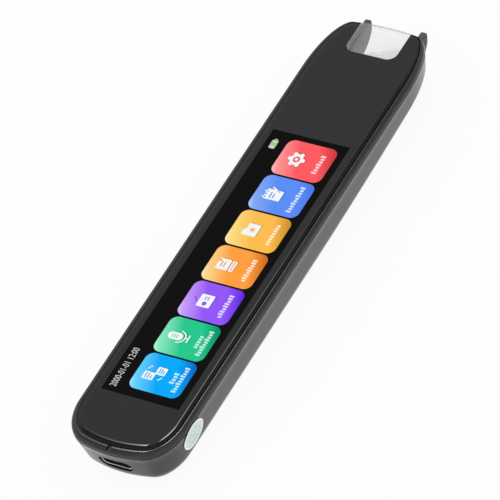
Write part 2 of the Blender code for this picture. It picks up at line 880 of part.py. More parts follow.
light_board = solid(
    "light_board",
    block(
        (-baffle_half_width, light_board_back_y, height(optic_depth) - light_board_height / 2),
        (baffle_half_width, light_board_front_y, height(optic_depth) + light_board_height / 2),
    ),
    board_green,
    smooth=False,
)
barrel_hole = prism(
    circle(barrel_radius + film_gap, (0.0, height(optic_depth))),
    "Y",
    light_board_back_y - overrun,
    light_board_front_y + overrun,
)
combine(light_board, cutter("barrel_hole", barrel_hole))

# Camera that looks out through the baffle
camera_housing = solid(
    "camera_housing",
    block(
        (-camera_width / 2, camera_back_y, height(camera_foot_depth)),
        (camera_width / 2, camera_front_y, height(camera_top_depth)),
    ),
    chip_black,
)
barrel_front_y = baffle_back_y - fit_gap
barrel = prism(
    circle(barrel_radius, (0.0, height(optic_depth))), "Y", camera_front_y - wall, barrel_front_y,
)
combine(camera_housing, cutter("camera_barrel", barrel), "UNION")
lens_back_y = barrel_front_y - lens_thickness - fit_gap
bore = prism(
    circle(barrel_bore, (0.0, height(optic_depth))), "Y", lens_back_y - fit_gap, barrel_front_y + overrun,
)
combine(camera_housing, cutter("barrel_bore", bore))
lens_outline = circle(barrel_bore - film_gap, (0.0, height(optic_depth)))
solid("camera_lens", prism(lens_outline, "Y", lens_back_y, lens_back_y + lens_thickness), lens_glass)
ribbon(
    "camera_ribbon",
    [
        (camera_back_y - film_gap, board_ribbon_depth),
        (main_board_front_y - camera_ribbon_reach, board_ribbon_depth),
    ],
    camera_ribbon_width,
)

# Main board and what it carries
main_board = solid(
    "main_board",
    block(
        (-main_board_width / 2, main_board_back_y, height(board_back_depth)),
        (main_board_width / 2, main_board_front_y, height(board_depth)),
    ),
    board_green,
    smooth=False,
)
can_y = main_board_front_y - can_from_front
can_top = board_back_depth + film_gap
shield = solid(
    "shield_can",
    centred_block(0.0, can_y, can_size, can_size, can_top, can_top + can_height),
    can_metal,
    smooth=False,
)
can_inside = can_size - 2 * can_wall
can_floor_depth = can_top + can_height - can_wall
can_pocket = centred_block(0.0, can_y, can_inside, can_inside, board_depth, can_floor_depth)
combine(shield, cutter("can_pocket", can_pocket))
solid(
    "processor_chip",
    centred_block(0.0, can_y, processor_size, processor_size, can_top, can_top + processor_height),
    chip_black,
    smooth=False,
)
chip_low = board_depth - film_gap
memory_y = main_board_front_y - memory_from_front
solid(
    "memory_chip",
    centred_block(memory_x, memory_y, memory_width, memory_length, chip_low - memory_height, chip_low),
    chip_black,
    smooth=False,
)
wireless_y = main_board_front_y - wireless_from_front
wireless_top = chip_low - wireless_height
solid(
    "wireless_module",
    centred_block(wireless_x, wireless_y, wireless_width, wireless_length, wireless_top, chip_low),
    can_metal,
    smooth=False,
)

# Power button, its plunger and its switch
button_face_x = -pen_width / 2 + side_inset(button_depth, 0.0) - button_proud
button_slide = empty_at("button_slide", (button_face_x, button_y, height(button_depth)))
cap = prism(
    stadium(button_length, button_height, (button_y, height(button_depth))),
    "X",
    button_face_x,
    button_face_x + button_thickness + flange_thickness / 2,
)
power_button = solid("power_button", cap, frame_plastic, (button_face_x, button_y, height(button_depth)))
flange_height = button_height + button_flange
flange_x = -pen_width / 2 + side_inset(button_depth + flange_height / 2, wall) + film_gap
flange = prism(
    stadium(button_length + 2 * button_flange, flange_height, (button_y, height(button_depth))),
    "X",
    flange_x,
    flange_x + flange_thickness,
)
combine(power_button, cutter("button_flange", flange), "UNION")
attach(power_button, button_slide)
power_body_x = -main_board_width / 2 + power_body_width / 2
power_body_top = chip_low - power_body_height
power_switch = solid(
    "power_switch",
    centred_block(power_body_x, button_y, power_body_width, power_body_length, power_body_top, chip_low),
    switch_black,
    smooth=False,
)
power_plunger_start = flange_x + flange_thickness + film_gap
power_plunger_end = power_body_x - power_body_width / 2 + plunger_grip
power_pin_depth = chip_low - power_body_height / 2
power_pocket = block(
    (
        power_body_x - power_body_width / 2 - overrun,
        button_y - plunger_width / 2 - film_gap,
        height(power_pin_depth + plunger_height / 2 + film_gap),
    ),
    (
        power_plunger_end + button_travel + fit_gap,
        button_y + plunger_width / 2 + film_gap,
        height(power_pin_depth - plunger_height / 2 - film_gap),
    ),
)
combine(power_switch, cutter("power_pocket", power_pocket))
power_pin = block(
    (power_plunger_start, button_y - plunger_width / 2, height(power_pin_depth + plunger_height / 2)),
    (power_plunger_end, button_y + plunger_width / 2, height(power_pin_depth - plunger_height / 2)),
)
power_plunger = solid(
    "power_plunger", power_pin, lamp_white, (power_plunger_start, button_y, height(power_pin_depth)), False,
)
attach(power_plunger, button_slide)

# Battery on its foam pad, with two leads to the main board
battery_length = battery_front_y - battery_back_y
battery_outline = []
for corner_x, corner_z, start in ((1, 1, 0), (-1, 1, 1), (-1, -1, 2), (1, -1, 3)):
    for index in range(4):
        a = math.pi / 2 * (start + index / 3)
        battery_outline.append((
            corner_x * (battery_width / 2 - battery_corner) + battery_corner * math.cos(a),
            height(battery_depth + battery_thickness / 2)
            + corner_z * (battery_thickness / 2 - battery_corner) + battery_corner * math.sin(a),
        ))
solid("battery", prism(battery_outline, "Y", battery_back_y, battery_front_y), cell_silver)
pad_top = battery_depth + battery_thickness + fit_gap
solid(
    "battery_pad",
    centred_block(
        0.0,
        (battery_back_y + battery_front_y) / 2,
        pad_width,
        battery_length - 2 * battery_corner,
        pad_top,
        pad_top + pad_thickness,
    ),
    gasket_foam,
    smooth=False,
)
for side, label, colour in ((-1, "black", lead_black), (1, "red", lead_red)):
    path = bpy.data.curves.new("battery_lead_" + label, "CURVE")
    path.dimensions = "3D"
    path.bevel_depth = lead_radius
    path.bevel_resolution = 2
    path.use_fill_caps = True
    line = path.splines.new("POLY")
    lead_start = (battery_front_y + film_gap, battery_depth + battery_thickness / 2)
    lead_end = (main_board_back_y + lead_x, board_depth - film_gap - lead_radius)
    lead_count = 10
    line.points.add(lead_count)
    for index in range(lead_count + 1):
        share = index / lead_count
        ease = share * share * (3.0 - 2.0 * share)
        line.points[index].co = (
            side * lead_x,
            lead_start[0] + (lead_end[0] - lead_start[0]) * share,
            height(lead_start[1] + (lead_end[1] - lead_start[1]) * min(1.0, lead_rise_share * ease)),
            1.0,
        )
    path.materials.append(colour)
    lead = bpy.data.objects.new("battery_lead_" + label, path)
    bpy.context.scene.collection.objects.link(lead)

# Charging board with the socket set into its front edge, charge chip and microphone
socket_back_y = socket_front_y + socket_length
socket_side = socket_width / 2 + film_gap
charge_outline = [
    (socket_side, socket_back_y + film_gap),
    (socket_side, charge_board_y),
    (charge_tongue_half_width, charge_board_y),
    (charge_board_half_width, charge_board_y + charge_tongue_length),
    (charge_board_half_width, charge_board_end_y),
]
charge_outline += [(-x, y) for x, y in reversed(charge_outline)]
charge_board = solid(
    "charge_board",
    prism(charge_outline, "Z", height(board_back_depth), height(board_depth)),
    board_green,
    smooth=False,
)
socket_outline = stadium(socket_width, socket_height, (0.0, height(socket_depth)))
socket_shell = solid("socket_shell", prism(socket_outline, "Y", socket_front_y, socket_back_y), steel)
socket_bore = prism(
    stadium(socket_width - 2 * socket_wall, socket_height - 2 * socket_wall, (0.0, height(socket_depth))),
    "Y",
    socket_front_y - overrun,
    socket_back_y - socket_wall,
)
combine(socket_shell, cutter("socket_bore", socket_bore))
base_back_y = socket_back_y - socket_wall - film_gap
base_front_y = base_back_y - socket_base_length
base_gap = 2 * (socket_wall + film_gap)
socket_tongue = solid(
    "socket_tongue",
    prism(
        stadium(socket_width - base_gap, socket_height - base_gap, (0.0, height(socket_depth))),
        "Y",
        base_front_y,
        base_back_y,
    ),
    switch_black,
)
tongue = block(
    (-tongue_width / 2, base_front_y - tongue_length, height(socket_depth) - tongue_thickness / 2),
    (tongue_width / 2, base_back_y - socket_base_length / 2, height(socket_depth) + tongue_thickness / 2),
)
combine(socket_tongue, cutter("tongue", tongue), "UNION")
charge_chip_y = charge_board_end_y - charge_chip_size
solid(
    "charge_chip",
    centred_block(
        charge_board_half_width / 2, charge_chip_y, charge_chip_size, charge_chip_size,
        chip_low - charge_chip_height, chip_low,
    ),
    chip_black,
    smooth=False,
)
solid(
    "microphone",
    centred_block(
        microphone_x, charge_board_y + microphone_length, microphone_width, microphone_length,
        chip_low - microphone_height, chip_low,
    ),
    can_metal,
    smooth=False,
)
link_start_y = charge_board_end_y - link_ribbon_width
link_end_y = main_board_back_y + link_ribbon_width
link_ramp = battery_back_y - charge_board_end_y + link_ribbon_width / 2
ribbon(
    "link_ribbon",
    [
        (link_start_y, board_ribbon_depth),
        (charge_board_end_y - link_ribbon_width / 2, board_ribbon_depth),
        (charge_board_end_y - link_ribbon_width / 2 + link_ramp, link_ribbon_depth),
        (battery_front_y, link_ribbon_depth),
        (main_board_back_y, board_ribbon_depth),
        (link_end_y, board_ribbon_depth),
    ],
    link_ribbon_width,
    x=0.0,
)

# Speaker, cone and gasket over the slots in the back
speaker_back_depth = speaker_depth + speaker_thickness
speaker = solid(
    "speaker",
    centred_block(0.0, speaker_y, speaker_width, speaker_length, speaker_depth, speaker_back_depth),
    chip_black,
)
cone_pocket = prism(
    circle(cone_radius + fit_gap, (0.0, speaker_y), 24),
    "Z",
    height(speaker_back_depth + overrun),
    height(speaker_back_depth - cone_recess),
)
combine(speaker, cutter("cone_pocket", cone_pocket))
cone_low = height(speaker_back_depth - cone_recess + fit_gap + cone_thickness)
solid(
    "speaker_cone",
    prism(circle(cone_radius, (0.0, speaker_y), 24), "Z", cone_low, cone_low + cone_thickness),
    cone_paper,
)
speaker_gasket = solid(
    "speaker_gasket",
    centred_block(
        0.0, speaker_y, slot_length + 2 * speaker_gasket_width + 2 * fit_gap, speaker_length,
        speaker_back_depth + fit_gap, floor_depth - fit_gap,
    ),
    gasket_foam,
    smooth=False,
)
gasket_hole = centred_block(
    0.0, speaker_y, slot_length + 2 * fit_gap, speaker_length - 2 * speaker_gasket_width,
    speaker_depth, pen_thickness,
)
combine(speaker_gasket, cutter("speaker_gasket_hole", gasket_hole))

# Board screws, through the boards into their bosses
board_of_screw = {"charge": charge_board, "main": main_board}
for screw_name, (screw_x, screw_y) in screw_places.items():
    board_hole = prism(
        circle(board_hole_radius, (screw_x, screw_y), 16), "Z",
        height(board_back_depth + overrun), height(board_depth - overrun),
    )
    combine(board_of_screw[screw_name.split("_")[0]], cutter("hole_" + screw_name, board_hole))
    head_low = height(board_depth - film_gap)
    bm = bmesh.new()
    profile = [
        (0.0, head_low + screw_head_height),
        (screw_head_radius, head_low + screw_head_height),
        (screw_head_radius, head_low),
        (screw_radius, head_low),
        (screw_radius, head_low - board_thickness - screw_length + fit_gap),
        (0.0, head_low - board_thickness - screw_length + fit_gap),
    ]
    rows = []
    for step in range(16):
        a = 2 * math.pi * step / 16
        rows.append([
            bm.verts.new((screw_x + radius * math.cos(a), screw_y + radius * math.sin(a), z))
            for radius, z in profile
        ])
    for step in range(16):
        one = rows[step]
        two = rows[(step + 1) % 16]
        for index in range(len(profile) - 1):
            bm.faces.new((one[index], one[index + 1], two[index + 1], two[index]))
    bmesh.ops.remove_doubles(bm, verts=bm.verts, dist=film_gap / 100)
    solid(screw_name, bm, steel)

# Oval seal that follows the right side of the shell
sticker_rings = 4
sticker_spokes = 32


lean_angle = math.atan(side_lean_share)
flat_drop = pen_thickness - shell_top_depth - side_corner_radius * (1.0 - math.sin(lean_angle))
flat_run = flat_drop / math.cos(lean_angle)
corner_start_y = half_outline(0.0, 0.0, 0.0)[corner_steps + len(bulge_shares)][1]


def side_surface(y, run, lift):
    # A point above the right wall, run metres down from the seam
    share = max(corner_start_y - y, 0.0) / low_corner_length
    pull = low_corner_width * (1.0 - math.sqrt(1.0 - share ** 2))
    reach = side_corner_radius + lift
    angle = lean_angle + max(run - flat_run, 0.0) / side_corner_radius
    short = max(flat_run - run, 0.0)
    inset = corner_inset(side_corner_radius, side_lean_share)
    x = pen_width / 2 - pull - inset + short * math.sin(lean_angle) + reach * math.cos(angle)
    depth = pen_thickness - side_corner_radius - short * math.cos(lean_angle) + reach * math.sin(angle)
    return (x, y, height(depth))


bm = bmesh.new()
faces_of = []
for lift in (film_gap, sticker_proud):
    centre = bm.verts.new(side_surface(sticker_y, sticker_from_seam, lift))
    loops = []
    for index in range(1, sticker_rings + 1):
        half_length = sticker_half_length * index / sticker_rings
        half_height = sticker_half_height * index / sticker_rings
        spots = [(half_height * a, half_length * b) for a, b in circle(1.0, steps=sticker_spokes)]
        loops.append([
            bm.verts.new(side_surface(sticker_y + along, sticker_from_seam + down, lift))
            for down, along in spots
        ])
    for step in range(sticker_spokes):
        after = (step + 1) % sticker_spokes
        bm.faces.new((centre, loops[0][step], loops[0][after]))
        for index in range(sticker_rings - 1):
            bm.faces.new((
                loops[index][step], loops[index + 1][step], loops[index + 1][after], loops[index][after],
            ))
    faces_of.append(loops[-1])
for step in range(sticker_spokes):
    after = (step + 1) % sticker_spokes
    bm.faces.new((faces_of[0][step], faces_of[0][after], faces_of[1][after], faces_of[1][step]))
solid("seal_sticker", bm, paper_seal)

nodes = [obj for obj in bpy.data.objects if obj.type in {"MESH", "CURVE"} and not obj.hide_render]
print("pieces", len(nodes))
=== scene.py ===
from math import asin, atan, atan2, cos, hypot, pi, radians, sin, sqrt

import bmesh
import bpy
from mathutils import Matrix, Vector


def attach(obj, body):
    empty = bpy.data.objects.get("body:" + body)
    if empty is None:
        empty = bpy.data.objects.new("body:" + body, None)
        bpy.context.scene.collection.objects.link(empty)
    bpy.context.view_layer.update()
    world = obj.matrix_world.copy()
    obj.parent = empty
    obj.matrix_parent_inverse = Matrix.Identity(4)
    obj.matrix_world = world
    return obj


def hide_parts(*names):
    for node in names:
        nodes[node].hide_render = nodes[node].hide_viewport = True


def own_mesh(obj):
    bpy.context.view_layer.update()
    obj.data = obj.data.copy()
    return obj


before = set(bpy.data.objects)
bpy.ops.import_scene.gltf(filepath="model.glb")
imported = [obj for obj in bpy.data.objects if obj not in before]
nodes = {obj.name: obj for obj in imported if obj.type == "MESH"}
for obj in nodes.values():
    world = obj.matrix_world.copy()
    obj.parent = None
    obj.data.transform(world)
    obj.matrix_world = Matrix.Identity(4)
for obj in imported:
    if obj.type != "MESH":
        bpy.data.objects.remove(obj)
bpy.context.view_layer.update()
mm = 0.001
print("frame loaded:", len(nodes), "solids")


# Camera at the photograph's angle, a long lens from 1.3 m away
cameraPlace = {
    "right": (0.8452, 0.4798, -0.249),
    "back": (0.485, -0.4985, 0.718),
    "centre": (-0.00025, -0.01335, 0.0125),
    "shiftRight": 5.65 * mm,
    "shiftUp": 4.21 * mm,
    "distance": 1.285,
    "focalPixels": 5344.0,
    "imagePixels": 500.0,
    "sensor": 36.0,
}


def makeCamera(p):
    right = Vector(p["right"]).normalized()
    back = Vector(p["back"])
    back = (back - right * back.dot(right)).normalized()
    up = back.cross(right).normalized()
    target = Vector(p["centre"]) + right * p["shiftRight"] + up * p["shiftUp"]
    data = bpy.data.cameras.new("photoCamera")
    data.sensor_width = p["sensor"]
    data.lens = p["sensor"] * p["focalPixels"] / p["imagePixels"]
    camera = bpy.data.objects.new("photoCamera", data)
    bpy.context.scene.collection.objects.link(camera)
    place = Matrix((right, up, back)).transposed().to_4x4()
    place.translation = target + back * p["distance"]
    camera.matrix_world = place
    bpy.context.scene.camera = camera


makeCamera(cameraPlace)
print("camera placed")


# Small helpers for meshes
def newPiece(name, bm, finishes=(), smoothAngle=0.0):
    bmesh.ops.recalc_face_normals(bm, faces=bm.faces)
    mesh = bpy.data.meshes.new(name)
    bm.to_mesh(mesh)
    bm.free()
    piece = bpy.data.objects.new(name, mesh)
    bpy.context.scene.collection.objects.link(piece)
    if smoothAngle:
        soften(piece, smoothAngle)
    for finish in finishes:
        mesh.materials.append(finish)
    return piece


def soften(piece, angle):
    piece.data.shade_smooth()
    piece.data.set_sharp_from_angle(angle=radians(angle))


def settle(piece, replaced=(), body="housing"):
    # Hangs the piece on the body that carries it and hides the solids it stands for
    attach(piece, body)
    if replaced:
        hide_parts(*replaced)


def carve(piece, tools):
    for tool in tools:
        step = piece.modifiers.new("cut", "BOOLEAN")
        step.operation = "DIFFERENCE"
        step.solver = "EXACT"
        step.object = tool
    graph = bpy.context.evaluated_depsgraph_get()
    mesh = bpy.data.meshes.new_from_object(piece.evaluated_get(graph))
    piece.modifiers.clear()
    piece.data = mesh
    for tool in tools:
        bpy.data.objects.remove(tool)


def loft(bm, rings, strips=False):
    # Joins outlines of like count, capped by one face or by strips across the pen
    loops = [[bm.verts.new(spot) for spot in points] for points in rings]
    count = len(rings[0])
    faces = []
    for one, two in zip(loops, loops[1:]):
        for i in range(count):
            j = (i + 1) % count
            faces.append(bm.faces.new((one[i], one[j], two[j], two[i])))
    for loop in (loops[0], loops[-1]):
        if strips:
            for i in range(count // 2 - 1):
                far = count - 1 - i
                faces.append(bm.faces.new((loop[i], loop[i + 1], loop[far - 1], loop[far])))
        else:
            faces.append(bm.faces.new(loop))
    return faces


def addPrism(bm, points, along, low, high):
    # Adds an outline extruded along one axis, its two numbers are the other axes in order
    at = "XYZ".index(along)
    return loft(bm, [
        [(*spot[:at], level, *spot[at:]) for spot in points] for level in (low, high)
    ])


def addBlock(bm, low, high, edge=0.0, segments=2):
    corners = [(low[0], low[1]), (high[0], low[1]), (high[0], high[1]), (low[0], high[1])]
    faces = addPrism(bm, corners, "Z", low[2], high[2])
    if edge:
        edges = list({side for face in faces for side in face.edges})
        bmesh.ops.bevel(
            bm, geom=edges, offset=edge, segments=segments, profile=0.5, affect="EDGES",
        )


def prismTool(points, along, low, high):
    bm = bmesh.new()
    addPrism(bm, points, along, low, high)
    return newPiece("tool", bm)


def blockTool(low, high):
    bm = bmesh.new()
    addBlock(bm, low, high)
    return newPiece("tool", bm)


def quarterTurn(steps):
    # How far in and how far along a rounded edge runs, as shares of its radius
    turns = [pi / 2 * i / steps for i in range(steps + 1)]
    return [(1 - sin(a), 1 - cos(a)) for a in turns]


def onCircle(centre, radius, angle):
    return (centre[0] + radius * cos(angle), centre[1] + radius * sin(angle))


def circlePoints(radius, centre=(0.0, 0.0), steps=32):
    return [onCircle(centre, radius, 2 * pi * i / steps) for i in range(steps)]


def slotPoints(length, width, centre=(0.0, 0.0), steps=14):
    # A slot with round ends, long in its first direction
    radius = width / 2
    reach = length / 2 - radius
    points = []
    for side, start in ((1, -pi / 2), (-1, pi / 2)):
        middle = (centre[0] + side * reach, centre[1])
        points += [onCircle(middle, radius, start + pi * i / steps) for i in range(steps + 1)]
    return points


def roundRect(width, height, radius, centre=(0.0, 0.0), steps=8):
    points = []
    for signX, signY, start in ((1, 1, 0), (-1, 1, 1), (-1, -1, 2), (1, -1, 3)):
        x = centre[0] + signX * (width / 2 - radius)
        y = centre[1] + signY * (height / 2 - radius)
        turns = [pi / 2 * (start + i / steps) for i in range(steps + 1)]
        points += [onCircle((x, y), radius, a) for a in turns]
    return points


def smoothLine(points, steps):
    # A cubic curve through the points
    line = []
    for i in range(len(points) - 1):
        before, after = points[max(i - 1, 0)], points[min(i + 2, len(points) - 1)]
        for k in range(steps):
            t = k / steps
            line.append(tuple(
                0.5 * (2 * b + (c - a) * t + (2 * a - 5 * b + 4 * c - d) * t * t
                       + (3 * b - a - 3 * c + d) * t ** 3)
                for a, b, c, d in zip(before, points[i], points[i + 1], after)
            ))
    line.append(tuple(points[-1]))
    return line


def insetPoints(points, distance, least=1e-9, leastBend=0.35):
    # Draws a closed outline in towards its middle
    area = sum(a[0] * b[1] - b[0] * a[1] for a, b in zip(points, points[1:] + points[:1]))
    turn = 1.0 if area > 0 else -1.0
    moved = []
    for i, point in enumerate(points):
        before = Vector(point) - Vector(points[i - 1])
        after = Vector(points[(i + 1) % len(points)]) - Vector(point)
        if before.length < least or after.length < least:
            before = after = before if before.length > after.length else after
        one, two = before.normalized(), after.normalized()
        normal = Vector((-(one.y + two.y), one.x + two.x)) * turn
        reach = distance / max(1.0 + one.dot(two), leastBend)
        moved.append((point[0] + normal.x * reach, point[1] + normal.y * reach))
    return moved


# Small helpers for finishes
def newFinish(name):
    finish = bpy.data.materials.new(name)
    finish.use_nodes = True
    return finish, finish.node_tree, finish.node_tree.nodes["Principled BSDF"]


def feed(net, node, inputs):
    # Each input gets a value or what another node gives
    for name, given in inputs.items():
        if isinstance(given, bpy.types.NodeSocket):
            net.links.new(given, node.inputs[name])
        else:
            node.inputs[name].default_value = given


def addNode(net, kind, inputs, output, **settings):
    node = net.nodes.new("ShaderNode" + kind)
    for name, value in settings.items():
        setattr(node, name, value)
    feed(net, node, inputs)
    return node.outputs[output]


def mathNode(net, operation, one, two):
    return addNode(net, "Math", {0: one, 1: two}, "Value", operation=operation)


def spanNode(net, value, start, end, low=0.0, high=1.0):
    inputs = {"Value": value, "From Min": start, "From Max": end, "To Min": low, "To Max": high}
    return addNode(net, "MapRange", inputs, "Result")


def noiseNode(net, where, scale, detail=2.0):
    return addNode(net, "TexNoise", {"Vector": where, "Scale": scale, "Detail": detail}, "Fac")


def bumpNode(net, value, strength, distance):
    inputs = {"Height": value, "Strength": strength, "Distance": distance}
    return addNode(net, "Bump", inputs, "Normal")


def mixNode(net, share, one, two):
    inputs = {"Factor": share, "A": one, "B": two}
    return addNode(net, "Mix", inputs, "Result", data_type="RGBA")


def placeNode(net, source="Object", kind="POINT", **inputs):
    # Where a point lies on the piece, moved, turned or stretched
    where = addNode(net, "TexCoord", {}, source)
    return addNode(net, "Mapping", {"Vector": where, **inputs}, "Vector", vector_type=kind)


def rampNode(net, value, stops):
    ramp = net.nodes.new("ShaderNodeValToRGB")
    elements = ramp.color_ramp.elements
    while len(elements) < len(stops):
        elements.new(0.5)
    for element, (place, colour) in zip(elements, stops):
        element.position = place
        element.color = (*colour, 1.0)
    feed(net, ramp, {"Fac": value})
    return ramp.outputs["Color"]


def mottle(net, noise, dark, light, places=(0.3, 0.7)):
    return rampNode(net, noise, list(zip(places, (dark, light))))


def tinted(colour, share):
    return tuple(c * share for c in colour)


usualFinish = {
    "tintScale": 1200.0, "tintDetail": 4.0, "glossScale": 1800.0, "glossDetail": 3.0,
    "grainScale": 6000.0, "grainDepth": 0.000008, "bump": 0.2,
    "metal": 0.0, "ior": 1.5, "stretch": (1.0, 1.0, 1.0),
}


def surfaceFinish(name, dark, light, rough, **others):
    # Colour, gloss and fine relief that vary over the surface
    p = {**usualFinish, **others}
    finish, net, shader = newFinish(name)
    spot = placeNode(net, Scale=p["stretch"])
    gloss = noiseNode(net, spot, p["glossScale"], p["glossDetail"])
    feed(net, shader, {
        "Metallic": p["metal"], "IOR": p["ior"],
        "Base Color": mottle(net, noiseNode(net, spot, p["tintScale"], p["tintDetail"]), dark, light),
        "Roughness": spanNode(net, gloss, 0.3, 0.7, *rough),
        "Normal": bumpNode(net, noiseNode(net, spot, p["grainScale"]), p["bump"], p["grainDepth"]),
    })
    return finish


# Finishes of the housing
shellFinish = surfaceFinish(
    "shellPlastic", (0.014, 0.014, 0.015), (0.020, 0.020, 0.021), (0.17, 0.24),
    tintScale=900.0, glossScale=260.0, grainScale=9000.0, grainDepth=0.000006, bump=0.08,
)
rimFinish = surfaceFinish(
    "rimPlastic", (0.014, 0.014, 0.015), (0.019, 0.019, 0.020), (0.09, 0.13),
    tintScale=900.0, glossScale=300.0, grainScale=9000.0, grainDepth=0.000005, bump=0.06, ior=1.47,
)
glassFinish = surfaceFinish(
    "blackGlass", (0.0014, 0.0014, 0.0016), (0.0026, 0.0026, 0.0029), (0.02, 0.035),
    tintScale=120.0, glossScale=90.0, grainScale=1500.0, grainDepth=0.0000005, bump=0.02, ior=1.39,
)
forkFinish = surfaceFinish(
    "forkPlastic", (0.044, 0.045, 0.048), (0.060, 0.061, 0.064), (0.34, 0.44),
    tintScale=700.0, glossScale=400.0, grainScale=8000.0, grainDepth=0.000012, bump=0.12,
)
print("housing finishes made")


# Outline of the pen at any depth below the glass
penBody = {
    "width": 0.0305, "length": 0.1449, "thickness": 0.0125, "prongReach": 0.0035,
    "noseThickness": 0.00925, "taperLength": 0.0660, "taperPower": 1.75,
    "lowCornerWidth": 0.0085, "lowCornerLength": 0.0114, "lowBulgeRadius": 0.0350,
    "highCornerWidth": 0.0062, "highCornerLength": 0.0169, "highBulgeRadius": 0.0700,
    "corner": 0.0046, "lean": 0.176, "wall": 0.0013,
    "seamDepth": 0.0015, "shellTop": 0.0017, "lipDepth": 0.0026, "lipWall": 0.00065,
    "cornerSteps": 22, "bulgeSteps": 5, "sideSteps": 14,
}
# How far cutting tools reach past the housing, past the tip, below the back and above the glass
cutReach = {"out": 0.002, "tip": 0.006, "low": -0.002, "high": 0.015}
halfWidth = penBody["width"] / 2
bottomY = -penBody["length"] / 2
tipY = penBody["length"] / 2 - penBody["prongReach"]


def height(depth):
    return penBody["thickness"] - depth


def endPoints(end, side, inset, cornerWidth, cornerLength, bulgeRadius):
    # From the side to the middle line, round one long corner of one end
    endY = bottomY + inset if end < 0 else tipY - inset
    cornerX = halfWidth - side - cornerWidth
    joinAngle = asin(cornerX / (bulgeRadius - cornerWidth))
    joinSag = bulgeRadius * (1.0 - cos(joinAngle))
    points = []
    for i in range(penBody["cornerSteps"] + 1):
        a = pi / 2 + (joinAngle - pi / 2) * i / penBody["cornerSteps"]
        sag = joinSag + cornerLength * (cos(joinAngle) - cos(a))
        points.append((cornerX + cornerWidth * sin(a), endY - end * sag))
    for i in range(1, penBody["bulgeSteps"]):
        a = joinAngle * (1.0 - i / (penBody["bulgeSteps"] - 0.5))
        points.append((bulgeRadius * sin(a), endY - end * bulgeRadius * (1.0 - cos(a))))
    return points


def halfOutline(side, low, high):
    parts = []
    for end, name, inset in ((-1, "low", low), (1, "high", high)):
        drawn = (side + inset) / 2
        parts.append(endPoints(
            end, side, inset, penBody[name + "CornerWidth"] - drawn,
            penBody[name + "CornerLength"] - drawn, penBody[name + "BulgeRadius"] - inset,
        ))
    lowPart, highPart = parts
    start, run = lowPart[0][1], highPart[0][1] - lowPart[0][1]
    steps = penBody["sideSteps"]
    sidePart = [(halfWidth - side, start + run * i / steps) for i in range(1, steps)]
    return lowPart[::-1] + sidePart + highPart


def taperedDepth(depth, y):
    # Below the lip everything is drawn in towards the tip
    lip, thickness = penBody["lipDepth"], penBody["thickness"]
    if depth <= lip:
        return depth
    run = max((y - tipY + penBody["taperLength"]) / penBody["taperLength"], 0.0)
    backDepth = thickness - (thickness - penBody["noseThickness"]) * run ** penBody["taperPower"]
    return lip + (depth - lip) * (backDepth - lip) / (thickness - lip)


def ring(side, low, high, depth):
    half = halfOutline(side, low, high)
    right = [(x, y, height(taperedDepth(depth, y))) for x, y in half]
    return right + [(-x, y, z) for x, y, z in reversed(right)]


def wallInset(depth, skin):
    # A wall that leans in from the seam and then rounds into the back
    radius, lean, top = penBody["corner"], penBody["lean"], penBody["shellTop"]
    drop = depth - (penBody["thickness"] - radius)
    slope = hypot(1.0, lean)
    if drop <= (radius - skin) * sin(atan(lean)):
        return (depth - top) * lean + skin * slope
    centre = (penBody["thickness"] - radius - top) * lean + radius * slope
    return centre - sqrt(max((radius - skin) ** 2 - drop ** 2, 0.0))


def evenRing(inset, depth):
    return ring(inset, inset, inset, depth)


# Rear shell with its socket hole, speaker slots, button opening and nose slot
rearShell = {
    "topEdge": 0.00005, "topCurve": ((0.0, 0.6), (0.3, 0.2), (0.8, 0.0)),
    "wallShares": (0.0, 0.33, 0.67),
    "roundAngles": (8.0, 14.0, 21.0, 28.0, 35.0, 42.0, 49.0, 55.0, 61.0, 67.0, 73.0, 79.0, 85.0, 90.0),
    "socketSlot": (0.00934, 0.00406), "socketDepth": 0.0062, "socketCutTo": -0.0696,
    "socketEndSteps": 20,
    "noseSlotHalf": 0.00935, "noseSlotFrom": 0.05875, "wallCut": 0.0023,
    "speakerY": -0.05245, "speakerSlots": 5, "speakerPitch": 0.0022, "speakerSlot": (0.0090, 0.0010),
    "buttonSlot": (0.0090, 0.0026), "buttonY": 0.02103, "buttonDepth": 0.0040,
    "bosses": ((-0.00895, -0.06225), (0.00895, -0.06225), (-0.00965, 0.01303), (0.00965, 0.01303)),
    "bossProfile": ((0.0017, 0.0009), (0.0017, 0.00668), (0.0009, 0.00668), (0.0009, 0.0030)),
    "bossSteps": 28, "smoothAngle": 32.0,
}


def shellLevels(p, top, skin):
    radius = penBody["corner"]
    floor = penBody["thickness"] - radius
    turns = [floor + (radius - skin) * sin(radians(a)) for a in p["roundAngles"]]
    return [top + (turns[0] - top) * share for share in p["wallShares"]] + turns


def shellRing(depth, skin):
    inset = wallInset(depth, skin)
    return evenRing(inset, depth)


